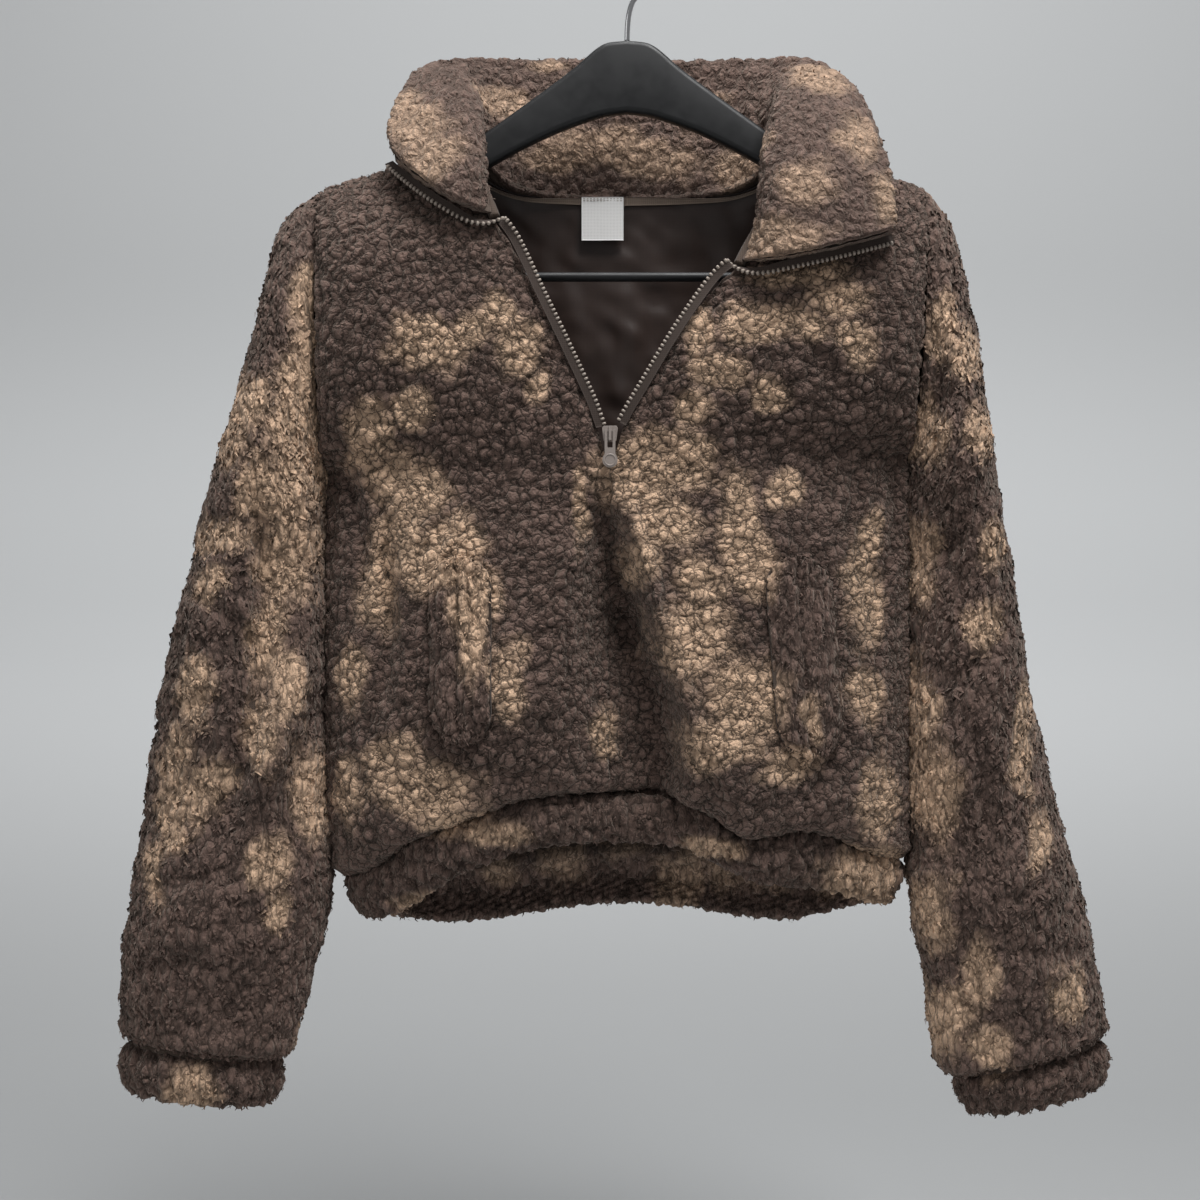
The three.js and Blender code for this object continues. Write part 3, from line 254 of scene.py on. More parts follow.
def fold_depth(x, z):
    """How far in the fold below the zip sinks: its table's depth times half a wave between its two ridges."""
    below = np.clip(-z, FOLD[0][0], FOLD[-1][0])
    left, right = column(FOLD, 1, below), column(FOLD, 2, below)
    across = np.clip((x - left) / (right - left), 0, 1)
    return column(FOLD, 3, below) * np.sin(np.pi * across ** 1.8)


def ring_point(ring, turn, extra):
    """A point of a tilted oval at a turn from its outer edge round by the front, made larger by extra."""
    out_x, out_z, in_x, in_z, depth, back = ring
    angle = 2 * np.pi * turn
    half_x, half_z = (out_x - in_x) / 2, (out_z - in_z) / 2
    grow = 1 + extra / np.hypot(half_x, half_z)
    return xyz((out_x + in_x) / 2 + half_x * np.cos(angle) * grow, back - (depth + extra) * np.sin(angle),
               (out_z + in_z) / 2 + half_z * np.cos(angle) * grow)


def sleeve_point(half, at, turn):
    """A point of the sleeve: the table's oval at that place along, with the swellings added to its radius."""
    extra = 0
    for place, round_at, along, round_by, height in SLEEVE_SWELLS:
        away = (turn - round_at + 1.5) % 1 - 0.5
        extra = extra + height * np.exp(-((at - place) / along) ** 2 - (away / round_by) ** 2)
    extra = extra * np.minimum(1, at / 0.1) * np.minimum(1, (1 - at) / 0.1)
    return ring_point([column(half["sleeve"], k, at) for k in range(1, 7)], turn, extra)


def out_from_side(q):
    """How far across and how far out of the middle plane a squared oval is, from its side (0) to the middle (1)."""
    across = q ** EDGE_CROWDING
    return across, (1 - (1 - across) ** SQUARENESS) ** (1 / SQUARENESS)


def lower_point(half, face, q, t):
    """The body below the armpits: q runs from the side seam to the middle, t from the armpits to the hem seam."""
    middle, side = MIDDLE[face], half["side"]
    across, out = out_from_side(q)
    x = mix(column(side, 1, t), middle[0], across)
    seam = np.array(SEAM[face], float)
    middle_z = mix(mix(side[0][2], middle[2], across), curve(seam[:, 0], seam[:, 1], x), t)
    z = mix(mix(side[0][2], side[-1][2], t), middle_z, np.minimum(1, q * 3))
    depth = column(DEPTH, 1 if face == "front" else 2, t) * out
    raised = swell(face, x, z) * out * smooth(t * SWELL_FADE)
    return xyz(x, -depth + fold_depth(x, z) - raised if face == "front" else depth + raised, z)


def top_point(half, face, q):
    turn = 1 if face == "front" else SHOULDER_SHARE
    at = np.clip(q / turn, 0, 1)
    shoulder = xyz(column(half["shoulder"], 1, at), 0, column(half["shoulder"], 2, at))
    if face == "front":
        return shoulder
    neck = point_through(half["back_neck"], np.clip((q - turn) / (1 - turn), 0, 1))
    return np.where((q <= turn)[..., None], shoulder, neck)


def inner_point(half, face, t):
    if face == "back":
        start = np.array(half["back_neck"][-1][1:], float)
        return start + (np.array(BACK_MIDDLE) - start) * t[..., None]
    neck = point_through(half["neckline"], np.clip(t / NECK_SHARE, 0, 1))
    slit = point_through(half["zip_edge"], np.clip((t - NECK_SHARE) / (1 - NECK_SHARE), 0, 1))
    return np.where((t <= NECK_SHARE)[..., None], neck, slit)


def upper_point(half, face, q, t):
    """The body above the armpits: its four border curves blended as a Coons patch."""
    q, t = np.broadcast_arrays(np.asarray(q, float), np.asarray(t, float))
    one = np.ones_like(q)
    armhole = sleeve_point(half, 0 * q, t / 2 if face == "front" else 1 - t / 2)
    inner, top, chest = inner_point(half, face, t), top_point(half, face, q), lower_point(half, face, q, 0 * q)
    corners = [sleeve_point(half, 0 * q, 0 * q), top_point(half, face, one), sleeve_point(half, 0 * q, one / 2),
               lower_point(half, face, one, 0 * q)]
    down = np.stack([t, np.sqrt(t * (2 - t)), t], axis=-1)
    q = q[..., None]
    return (mix(armhole, inner, q) + mix(top, chest, down)
            - mix(mix(corners[0], corners[1], q), mix(corners[2], corners[3], q), down))


def body_point(half, face, q, row):
    """A point of a body panel: rows 0 to 12 lie along the armhole, rows 12 to 24 along the side seam."""
    q, row = np.broadcast_arrays(np.asarray(q, float), np.asarray(row, float))
    upper = upper_point(half, face, q, np.clip(row / ARMHOLE_ROWS, 0, 1))
    lower = lower_point(half, face, q, np.clip((row - ARMHOLE_ROWS) / SIDE_ROWS, 0, 1))
    return np.where((row <= ARMHOLE_ROWS)[..., None], upper, lower)


def band_point(half, face, q, v):
    """The hem band from its seam (v 0) to its lower edge (v 1), bulging half way."""
    q, v = np.broadcast_arrays(np.asarray(q, float), np.asarray(v, float))
    top = lower_point(half, face, q, np.ones_like(q))
    sign = -1 if face == "front" else 1
    across, out = out_from_side(q)
    x = mix(half["sign"] * BAND_REACH, MIDDLE[face][0], across)
    y = sign * out * BAND_DEPTH[face]
    if face == "front":
        y = y + fold_depth(x, top[..., 2]) * 0.6
    edge = np.array(EDGE[face], float)
    z = curve(edge[:, 0], edge[:, 1], x)
    bulge = BULGE * np.sin(np.pi * v)
    return xyz(mix(top[..., 0], x, v) + half["sign"] * bulge * (1 - across) ** 4,
               mix(top[..., 1], y, v) + sign * bulge * out, mix(top[..., 2], z, v))


def cuff_point(half, v, turn):
    start, end = half["sleeve"][-1][1:], half["cuff_end"]
    return ring_point([mix(a, b, v) for a, b in zip(start, end)], turn, BULGE * np.sin(np.pi * v))


def collar_point(u, v):
    """The collar from the neck seam (v 0) to its top edge (v 1): a quadratic curve bent towards the table's point."""
    u, v = np.broadcast_arrays(np.asarray(u, float), np.asarray(v, float))
    bases = []
    for half, inward in ((LEFT, u * 4), (RIGHT, 4 - u * 4)):
        front = point_through(half["neckline"], np.clip(1 - inward, 0, 1))
        behind = point_through(half["back_neck"], np.clip(inward - 1, 0, 1))
        bases.append(np.where((inward <= 1)[..., None], front, behind))
    base = np.where((u <= 0.5)[..., None], *bases)
    top = xyz(*(column(COLLAR, k, u) for k in (1, 2, 3)))
    bend = xyz(*(column(COLLAR, k, u) for k in (4, 5, 6)))
    v = v[..., None]
    return base * (1 - v) ** 2 + bend * 2 * v * (1 - v) + top * v * v


def even(sample, count):
    """Parameter values from 0 to 1 that cut sample(parameter), a curve, into steps of equal length."""
    at = np.linspace(0, 1, 600)
    run = run_of(sample(at))
    return np.interp(np.linspace(0, run[-1], count), run, at)


def facing(grid, sign, wrapped=False):
    """Unit directions out of a grid: the cross product of its row and column steps, times sign."""
    if wrapped:
        across = np.roll(grid, -1, axis=1) - np.roll(grid, 1, axis=1)
    else:
        across = np.gradient(grid, axis=1)
    return unit(sign * np.cross(np.gradient(grid, axis=0), across))


def run_length(grid, axis, backwards=False):
    """Distance along the rows or columns from the grid's first, or last, line."""
    if backwards:
        grid = np.flip(grid, axis)
    step = np.linalg.norm(np.diff(grid, axis=axis), axis=-1)
    start = np.zeros_like(np.take(step, [0], axis=axis))
    run = np.concatenate([start, np.cumsum(step, axis=axis)], axis=axis)
    return np.flip(run, axis) if backwards else run


# --- Colours and materials ---------------------------------------------------------------------------------------
# Each finish starts from what the real one is. A colour is an sRGB hex value that one function turns to linear.
def colour(text, times=1):
    """A hex value as linear light, made darker or lighter by a factor."""
    parts = [int(text[k:k + 2], 16) / 255 for k in (1, 3, 5)]
    return (*[times * (c / 12.92 if c <= 0.04045 else ((c + 0.055) / 1.055) ** 2.4) for c in parts], 1)


def add_node(tree, kind, settings=None, **links):
    """Adds a shader node. settings are its properties; links are input name to value or to another node's output."""
    node = tree.nodes.new(kind)
    for name, value in (settings or {}).items():
        setattr(node, name, value)
    for name, value in links.items():
        numbered = name[0] == "i" and name[1:].isdigit()
        socket = node.inputs[int(name[1:]) if numbered else name.replace("_", " ")]
        if isinstance(value, bpy.types.NodeSocket):
            tree.links.new(value, socket)
        else:
            socket.default_value = value
    return node


def new_material(name, **sockets):
    material = bpy.data.materials.new(name)
    material.use_nodes = True
    shader = material.node_tree.nodes["Principled BSDF"]
    for key, value in sockets.items():
        shader.inputs[key.replace("_", " ")].default_value = value
    return material, material.node_tree, shader


def object_place(tree):
    return add_node(tree, "ShaderNodeTexCoord").outputs["Object"]


def noise_texture(tree, place, scale, detail, roughness=0.5, output=0):
    return add_node(tree, "ShaderNodeTexNoise", Vector=place, Scale=scale, Detail=detail,
                    Roughness=roughness).outputs[output]


def ranged(tree, value, low, high, start, end, soft=False):
    """Carries a value from low and high to start and end, in a straight line or softly."""
    return add_node(tree, "ShaderNodeMapRange", {"interpolation_type": "SMOOTHSTEP" if soft else "LINEAR"}, i0=value,
                    i1=low, i2=high, i3=start, i4=end).outputs[0]


def reckoned(tree, operation, *values, clamp=False):
    return add_node(tree, "ShaderNodeMath", {"operation": operation, "use_clamp": clamp},
                    **{f"i{k}": value for k, value in enumerate(values)}).outputs[0]


def ramp_mix(tree, factor, first, second):
    return add_node(tree, "ShaderNodeMix", {"data_type": "RGBA"}, i0=factor, i6=first, i7=second).outputs[2]


def scaled(tree, tone, shade):
    return add_node(tree, "ShaderNodeVectorMath", {"operation": "SCALE"}, i0=tone, Scale=shade).outputs[0]


def finish_surface(tree, shader, height, strength, distance, tone=None):
    """Links a shader's colour, where it has a pattern, and a bump of that height."""
    if tone is not None:
        tree.links.new(tone, shader.inputs["Base Color"])
    bump = add_node(tree, "ShaderNodeBump", Height=height, Strength=strength, Distance=distance)
    tree.links.new(bump.outputs[0], shader.inputs["Normal"])


def fleece_material(name, stretch, groove):
    """Brushed polyester sherpa, knitted and printed in two colours: matt wool-like curls of 3 to 7 mm that catch light
    at their edges, parted by cracks darkened with painted shade. The pattern lies on Object coordinates, longer down
    the piece where the pile hangs; the last argument is how light the cracks stay under the painted shade."""
    material, tree, shader = new_material(name, Roughness=0.95, Sheen_Weight=0.35, Sheen_Roughness=0.55,
                                          Specular_IOR_Level=0.15, Sheen_Tint=colour("#d8c9ba"))
    place = add_node(tree, "ShaderNodeMapping", Vector=object_place(tree), Scale=(1, 1, stretch)).outputs[0]
    warp = noise_texture(tree, place, 110.0, 3.0, 0.6, "Color")
    bent = add_node(tree, "ShaderNodeVectorMath", {"operation": "MULTIPLY_ADD"}, i0=warp, i1=(0.011, 0.011, 0.011),
                    i2=place).outputs[0]
    from_edge = add_node(tree, "ShaderNodeTexVoronoi", {"feature": "DISTANCE_TO_EDGE"}, Vector=bent,
                         Scale=140.0).outputs["Distance"]
    curls = noise_texture(tree, bent, 340.0, 1.5)
    fibre = noise_texture(tree, bent, 900.0, 3.0, 0.7)
    width = ranged(tree, noise_texture(tree, place, 75.0, 1.0), 0.3, 0.7, 0.06, 0.19)
    crack = ranged(tree, from_edge, 0.0, width, 0.0, 1.0, soft=True)
    tan, painted_shade = (add_node(tree, "ShaderNodeAttribute", {"attribute_name": key}).outputs["Fac"]
                 for key in ("tan", "painted_shade"))
    tan = reckoned(tree, "MULTIPLY_ADD", fibre, 0.35, reckoned(tree, "SUBTRACT", tan, 0.175), clamp=True)
    base = ramp_mix(tree, tan, colour("#745f57"), colour("#e9c5a6"))
    lit = ranged(tree, fibre, 0.3, 0.7, 0.72, 1.18)
    fine = ranged(tree, curls, 0.3, 0.6, 0.8, 1.08)
    # painted shade: the cracks darken towards the last argument, and the curls' noise shifts the tone a little
    painted_crack_shade_and_curl_tone = reckoned(tree, "MULTIPLY", ranged(tree, crack, 0.0, 1.0, groove, 1.0), fine)
    shade = reckoned(tree, "MULTIPLY", lit, painted_crack_shade_and_curl_tone)
    # painted shade: the per-point painted shade attribute darkens the colour down to a third
    shade = reckoned(tree, "MULTIPLY", shade, ranged(tree, painted_shade, 0.0, 1.0, 1.0, 0.32))
    dome = ranged(tree, from_edge, 0.0, 0.3, 0.0, 1.0, soft=True)
    height = reckoned(tree, "MULTIPLY_ADD", curls, 1.3, reckoned(tree, "MULTIPLY_ADD", fibre, 0.35, dome))
    finish_surface(tree, shader, height, 0.75, 0.0024, scaled(tree, base, shade))
    return material


WAVE_REPEAT = 0.314  # metres from band to band of a wave texture at scale 1


def woven_material(name, shade, thread, roughness, depth=0.0002, sheen=0.1, specular=0.3, worn=0.72):
    """Plain woven yarn: threads of that width in metres crossing at right angles, on Object coordinates."""
    material, tree, shader = new_material(name, Roughness=roughness, Sheen_Weight=sheen, Specular_IOR_Level=specular)
    place = object_place(tree)
    weft, warp = (add_node(tree, "ShaderNodeTexWave", {"bands_direction": way}, Vector=place,
                           Scale=WAVE_REPEAT / thread, Distortion=0.6).outputs["Fac"] for way in ("Z", "X"))
    cross = reckoned(tree, "MAXIMUM", weft, warp)
    base = ramp_mix(tree, noise_texture(tree, place, 120.0, 3.0), colour(shade, worn), colour(shade))
    finish_surface(tree, shader, cross, 0.5, depth, scaled(tree, base, ranged(tree, cross, 0.0, 1.0, 0.75, 1.1)))
    return material


SHERPA = fleece_material("sherpa_pile", 1.0, 0.2)
HANGING_SHERPA = fleece_material("sherpa_pile_hanging", 0.45, 0.36)
BRUSHED_SHERPA = fleece_material("sherpa_pile_brushed", 0.8, 0.56)
KNIT = woven_material("knitted_ground", "#55483f", 0.0016, 0.9)


# --- Grids made into meshes --------------------------------------------------------------------------------------
# A piece's grids are put into one mesh, in metres, with the print ("tan") and the painted shade as attributes.
def quads_of(rows, columns, wrapped=False):
    number = np.arange(rows * columns).reshape(rows, columns)
    if wrapped:
        number = np.concatenate([number, number[:, :1]], axis=1)
    return np.stack([number[:-1, :-1], number[:-1, 1:], number[1:, 1:], number[1:, :-1]], axis=-1).reshape(-1, 4)


def make_mesh(name, parts, material):
    """One mesh of parts: (points in mm, faces), or (points, faces, tan, painted shade) on all of them."""
    mesh = bpy.data.meshes.new(name)
    points = np.concatenate([p.reshape(-1, 3) for p, *_ in parts]) / 1000
    starts = np.cumsum([0] + [p.reshape(-1, 3).shape[0] for p, *_ in parts])
    faces = [f + start for (_, f, *_), start in zip(parts, starts)]
    corners = np.concatenate([f.ravel() for f in faces])
    sizes = np.concatenate([np.full(len(f), f.shape[1]) for f in faces])
    mesh.vertices.add(len(points))
    mesh.vertices.foreach_set("co", points.ravel())
    mesh.loops.add(len(corners))
    mesh.loops.foreach_set("vertex_index", corners.astype(np.int32))
    mesh.polygons.add(len(sizes))
    mesh.polygons.foreach_set("loop_start", np.concatenate([[0], np.cumsum(sizes)[:-1]]).astype(np.int32))
    mesh.polygons.foreach_set("loop_total", sizes.astype(np.int32))
    mesh.polygons.foreach_set("use_smooth", np.full(len(sizes), True))
    for key, which in (("tan", 2), ("painted_shade", 3)):
        if len(parts[0]) > which:
            values = np.concatenate([np.broadcast_to(part[which], part[0].shape[:-1]).ravel() for part in parts])
            mesh.attributes.new(key, "FLOAT", "POINT").data.foreach_set("value", values.astype(np.float32))
    mesh.update(calc_edges=True)
    mesh.validate()
    mesh.materials.append(material)
    made = bpy.data.objects.new(name, mesh)
    scene.collection.objects.link(made)
    return made


def round_part(grid):
    """A grid that closes on itself across, as a part of a mesh."""
    return grid, quads_of(*grid.shape[:2], wrapped=True)


def shell(grid, out, top, bottom, wrapped=False):
    """A thin closed wall on a grid, between two distances along out. Returns its points and faces."""
    faces = quads_of(*grid.shape[:2], wrapped)
    count = grid.shape[0] * grid.shape[1]
    number = np.arange(count).reshape(grid.shape[:2])
    rims = [number[0, ::-1], number[-1]] if wrapped else [
        np.concatenate([number[0, ::-1], number[1:, 0], number[-1, 1:], number[-2::-1, -1]])]
    sides = [np.stack([rim, np.roll(rim, -1), np.roll(rim, -1) + count, rim + count], axis=-1) for rim in rims]
    points = np.concatenate([(grid + out * top).reshape(-1, 3), (grid + out * bottom).reshape(-1, 3)])
    return points, np.concatenate([faces[:, ::-1], faces + count, *sides])


# --- Print -------------------------------------------------------------------------------------------------------
# The fleece is printed with soft tan blotches on dark taupe. The front's are placed as the photograph shows
# them, as x, z, half width and half height in millimetres; the back goes on in the same scale.
PRINT_FRONT = [
    (-139, -300, 28, 19), (-111, -289, 18, 14), (-76, -300, 15, 24), (-90, -275, 13, 12), (-188, -366, 15, 24),
    (-170, -394, 20, 28), (-160, -436, 24, 32), (-178, -471, 17, 28), (-144, -452, 20, 24), (-122, -460, 24, 10),
    (-108, -499, 14, 36), (-83, -534, 15, 26), (-198, -534, 13, 24), (-146, -611, 42, 19), (-167, -588, 22, 18),
    (-198, -611, 13, 26), (-125, -634, 24, 12), (-14, -575, 12, 18), (10, -385, 32, 28),
    (43, -380, 22, 20), (24, -422, 26, 24), (6, -452, 15, 18), (78, -422, 16, 38), (50, -464, 22, 18),
    (45, -506, 30, 30), (86, -452, 18, 26), (84, -548, 28, 28), (62, -578, 28, 20), (113, -592, 22, 13),
    (169, -478, 16, 44), (176, -432, 11, 22), (169, -548, 15, 22), (180, -618, 15, 28), (64, -317, 20, 15),
    (92, -282, 30, 15), (50, -291, 12, 18), (148, -268, 20, 15), (162, -300, 15, 17), (127, -289, 18, 11),
    (43, -345, 15, 13), (120, -250, 34, 9), (-33, -415, 8, 28), (-60, -330, 8, 14), (-90, -643, 28, 9),
    (64, -656, 24, 9), (166, -676, 26, 28), (-139, -694, 30, 9), (50, -694, 34, 8),
    (100, -335, 14, 12), (112, -400, 10, 16), (-150, -345, 12, 16), (130, -560, 8, 20), (-150, -402, 26, 22),
    (-120, -438, 22, 20), (-178, -352, 16, 18), (-100, -470, 12, 22), (176, -690, 18, 18), (183, -668, 15, 20),
]
PRINT_SLEEVES = [
    (-229, -262, 14, 26), (-233, -318, 16, 32), (-240, -352, 18, 30), (-246, -400, 18, 32), (-251, -452, 17, 32),
    (-256, -505, 13, 30), (-258, -575, 14, 26), (-285, -365, 16, 20), (-300, -470, 12, 14), (-315, -620, 14, 20),
    (-219, -290, 13, 38), (-230, -373, 14, 44), (-240, -440, 15, 38), (-272, -338, 20, 24), (-262, -396, 18, 24),
    (-290, -429, 24, 15), (-310, -541, 16, 24), (-244, -541, 11, 30), (-296, -606, 14, 18),
    (-321, -590, 15, 28), (-230, -618, 15, 32), (-255, -662, 13, 20), (-312, -830, 20, 17), (-342, -670, 9, 22),
    (-250, -700, 9, 16), (222, -282, 15, 24), (242, -303, 14, 18), (216, -352, 10, 28),
    (250, -359, 13, 20), (212, -450, 9, 30), (211, -560, 11, 40), (222, -618, 13, 36), (250, -492, 12, 15),
    (260, -436, 13, 20), (281, -576, 11, 40), (222, -700, 13, 26), (292, -650, 10, 24), (252, -744, 14, 26),
    (235, -779, 15, 32), (316, -758, 15, 20), (262, -800, 14, 18), (-330, -640, 10, 20),
]
PRINT_COLLAR = [
    (-150, -140, 26, 22), (-135, -167, 24, 18), (-163, -118, 14, 14), (-12, -131, 54, 17), (-51, -140, 28, 13),
    (26, -144, 34, 13), (57, -100, 22, 14), (103, -229, 30, 14), (142, -94, 22, 20), (120, -191, 24, 16),
    (160, -154, 15, 22), (-95, -96, 20, 14), (-20, -80, 26, 9), (176, -200, 12, 20), (84, -150, 16, 18),
    (-140, -205, 18, 12), (30, -70, 20, 6), (-60, -66, 16, 6),
]


def printed(points, spots, seed):
    """How tan each point is: the strongest soft-edged spot there, its edge broken by noise."""
    x = points[..., 0] + 7 * noise(points, 24, seed)
    z = points[..., 2] + 7 * noise(points, 24, seed + 1)
    best = np.zeros(points.shape[:-1])
    for mx, mz, wide, high in spots:
        best = np.maximum(best, np.exp(-((x - mx) / wide) ** 2 - ((z - mz) / high) ** 2))
    return smooth((best + 0.15 * noise(points, 9, seed + 2) - 0.14) / 0.62) ** 0.85


def strewn(count, low, high, seed):
    """Spots like the front's for a side that the photograph doesn't show."""
    rng = np.random.default_rng(seed)
    return [(*rng.uniform(low, high), rng.uniform(12, 26), rng.uniform(13, 32)) for _ in range(count)]


PRINT_BACK = strewn(92, (-215, -700), (215, -160), 11)
PRINT_SLEEVES_BACK = strewn(66, (-365, -830), (-215, -190), 12) + strewn(66, (205, -840), (345, -190), 13)


# --- Pile and locks ----------------------------------------------------------------------------------------------
# Sherpa is knitted with long loops that are brushed and tumbled into curls. They gather in clumps 8 to 11 mm across
# with grooves between them, darkened by painted shade; at every seam the pile is caught down, and single locks stand up
# from the rest.
ENDS_ONLY = (1, 1, 0, 0)  # the borders that a tube's pile turns down
LOCK_SHADE = [0.6, 0.6, 0.22, 0.22, 0.08, 0.08]  # how much painted shade a lock's six corners get, from root to tip


def pile(grid, out, trough, spots, seed, clump=11, hang=1.0, tall=3.2, sink=6.5, ribs=0, pads=(1, 1, 1, 1)):
    """The pile's surface: out of the grid by tall times the clumps' height (a dome round each scattered point, cut by
    grooves half way between them), less the seams' trough. Its borders turn down by sink where pads has a 1."""
    where = grid * np.array([1, 1, 1 / hang])
    where = where + 4.2 * np.stack([noise(grid, 10, seed + k) for k in (1, 2, 3)], axis=-1)
    first, second = cells(where, clump, seed)
    small, beside = cells(where + 1.5 * noise(grid, 5, seed + 6)[..., None], clump * 0.55, seed + 9)
    dome = np.clip(1 - (first / 0.9) ** 2, 0, 1)
    split = smooth((second - first) / 0.34)
    high = 0.8 * split ** 0.6 * (0.75 + 0.25 * dome) + 0.2 * smooth((beside - small) / 0.45)
    height = tall * (high - 1) + 1.0 + 0.8 * noise(grid, 26, seed + 5) - trough + ribs
    # painted shade: darkest in the grooves between clumps, a little in the seams' troughs
    painted_shade = np.clip(0.75 * (1 - split) + 0.1 * trough, 0, 1)
    tan = printed(grid, spots, seed)
    edge = ((pads[0], pads[1]), (pads[2], pads[3]))
    moved = np.pad(grid + out * height[..., None], (*edge, (0, 0)), mode="edge")
    fall = np.pad(np.zeros(height.shape), edge, constant_values=1.0)
    sunk = np.pad(np.broadcast_to(sink, height.shape), edge, mode="edge")
    outs = np.pad(out, (*edge, (0, 0)), mode="edge")
    return (moved - outs * (fall * sunk)[..., None], np.pad(tan, edge, mode="edge"), np.pad(painted_shade, edge, mode="edge"),
            grid + out * height[..., None], tan)


def locks(points, out, tan, count, length, width, seed, upright=0.55, spread=0.8):
    """Loose locks: narrow tapered strips, each from the pile's surface out, then over and down, with a chance turn."""
    rng = np.random.default_rng(seed)
    rows, columns = points.shape[:2]
    r, c = rng.integers(0, rows - 1, count), rng.integers(0, columns - 1, count)
    fr, fc = rng.random((count, 1)), rng.random((count, 1))
    root = mix(mix(points[r, c], points[r, c + 1], fc), mix(points[r + 1, c], points[r + 1, c + 1], fc), fr)
    normal = out[r, c]
    down = unit(np.array([0.0, 0.0, -1.0]) + normal * normal[:, 2:3] + 1e-3)
    side = np.cross(normal, down)
    turn = rng.normal(0, spread, (count, 1))
    lean = down * np.cos(turn) + side * np.sin(turn)
    size = length * rng.uniform(0.55, 1.25, (count, 1))
    curl = rng.normal(0, 0.5, (count, 1))
    middle = root + (normal * upright + lean * 0.6) * size * 0.5
    tip = middle + (normal * (upright - 0.45) + lean * 0.8 + side * curl) * size * 0.5
    start = root - normal * 1.5
    flat = unit(np.cross(lean, normal) + normal * rng.normal(0, 0.35, (count, 1)))
    flat = flat * width * rng.uniform(0.6, 1.3, (count, 1))
    strip = np.stack([start - flat, start + flat, middle - flat * 0.8, middle + flat * 0.8, tip - flat * 0.25,
                      tip + flat * 0.25], axis=1)
    first = np.arange(count)[:, None] * 6
    faces = np.concatenate([first + np.array([[0, 1, 3, 2]]), first + np.array([[2, 3, 5, 4]])])
    return strip.reshape(-1, 3), faces, np.repeat(tan[r, c], 6), np.tile(LOCK_SHADE, count)


def closed(grid):
    """A tube's grid with its first column again at the end."""
    return np.concatenate([grid, grid[:, :1]], axis=1)


def along_seam(distance, wide=5.0, depth=3.2):
    """The trough that a seam presses into the pile: a bell curve of the distance from it."""
    return depth * bell(distance, wide)


def coarse(grid, step):
    """Every so manyth row and column of a grid, with its borders, as an index."""
    rows, columns = grid.shape[:2]
    r = np.unique(np.linspace(0, rows - 1, max(rows // step, 3)).astype(int))
    c = np.unique(np.linspace(0, columns - 1, max(columns // step, 3)).astype(int))
    return r[:, None], c[None, :]


def dress(node, body_parts, lock_parts, shells, material):
    fleece = make_mesh(node + "_pile", body_parts + lock_parts, material)
    ground = make_mesh(node + "_ground", shells, KNIT)
    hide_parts(node)
    for piece in (fleece, ground):
        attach(piece, "pullover")


# --- Front and back ----------------------------------------------------------------------------------------------
# The two body panels, cut from printed sherpa. The front is slit down the middle for the zip, and drapes in a sunk
# fold below it; both pull into slack creases under the arms.
CREASES = {
    "front": [(-206, -380, -192, -480, 6, 6.5), (-188, -392, -170, -450, 5, 4.5), (-120, -400, -150, -450, 7, 2.5),
              (192, -375, 178, -480, 6, 5.5), (165, -385, 150, -435, 5, 3.0), (-180, -430, -177, -560, 6, 7.0),
              (-19, -408, 6, -520, (32, 7), 17), (2, -470, 24, -650, (30, 8), 18), (-40, -430, -72, -570, (9, 20), -4),
              (-96, -600, -40, -612, 5, 2.4), (34, -560, 66, -650, 8, 4.0),
              (-150, -300, -180, -360, 8, 2.6), (120, -300, 160, -352, 8, 2.4), (-190, -560, -160, -620, 7, 2.5),
              (150, -560, 120, -626, 7, 2.8), (-52, -300, -80, -350, 7, 1.8), (30, -330, 62, -380, 7, 1.8)],
    "back": [(-200, -380, -172, -470, 7, 4.5), (190, -370, 165, -465, 7, 4.5), (-120, -250, -60, -420, 9, 2.6),
             (110, -240, 60, -410, 9, 2.6), (-10, -240, 5, -400, 10, 2.0), (-150, -520, -110, -650, 8, 2.8),
             (60, -530, 100, -660, 8, 3.0), (-20, -560, -30, -665, 8, 2.4), (150, -560, 168, -650, 7, 2.4)],
    "sleeves": [(-238, -370, -262, -620, (9, 10), -13), (-266, -390, -288, -640, 8, 9),
                (-220, -387, -236, -590, 7, 8.0), (-312, -474, -262, -516, 7, 3.6),
                (-330, -560, -280, -548, 7, 3.0), (-250, -560, -240, -660, 7, 3.5), (-345, -690, -275, -672, 8, 3.0),
                (-352, -745, -290, -735, 7, 2.4), (212, -268, 212, -366, 6, 4.5), (252, -394, 218, -452, 7, 4.0),
                (270, -492, 228, -536, 7, 3.6), (232, -548, 248, -664, 8, 3.6), (304, -672, 256, -690, 7, 3.0),
                (326, -730, 270, -722, 7, 2.6), (236, -700, 244, -780, 7, 2.8)],
}


def crease_depth(table, x, z):
    """How far in the creases sink at a place: each a soft trough along a line from (x, z) to (x, z), shallow at its
    ends, with a low lip on one side. A pair of widths makes one side of the trough steeper than the other."""
    total = np.zeros(np.shape(x))
    for x0, z0, x1, z1, wide, depth in table:
        left, right = wide if isinstance(wide, tuple) else (wide, wide)
        long = math.hypot(x1 - x0, z1 - z0)
        along = ((x - x0) * (x1 - x0) + (z - z0) * (z1 - z0)) / long ** 2
        bow = 0.07 * long * np.sin(np.pi * np.clip(along, 0, 1))
        off = ((x - x0) * (z1 - z0) - (z - z0) * (x1 - x0)) / long + bow
        ends = bell(np.maximum(np.abs(along - 0.5) - 0.3, 0), 0.2)
        sunk = bell(off, np.where(off > 0, left, right)) - 0.35 * bell(off + 1.9 * right, right)
        total = total + depth * sunk * ends
    return total


PANEL_ROWS, PANEL_COLUMNS = 286, 136  # of each half, about 2 mm apart
EDGE_ROLL = 11  # how far above a hem or wrist seam the cloth rolls out, in mm
GROUND_FACES = (-5.8, -8.0)  # the knitted ground's outer and inner face, behind the panel's form, in mm


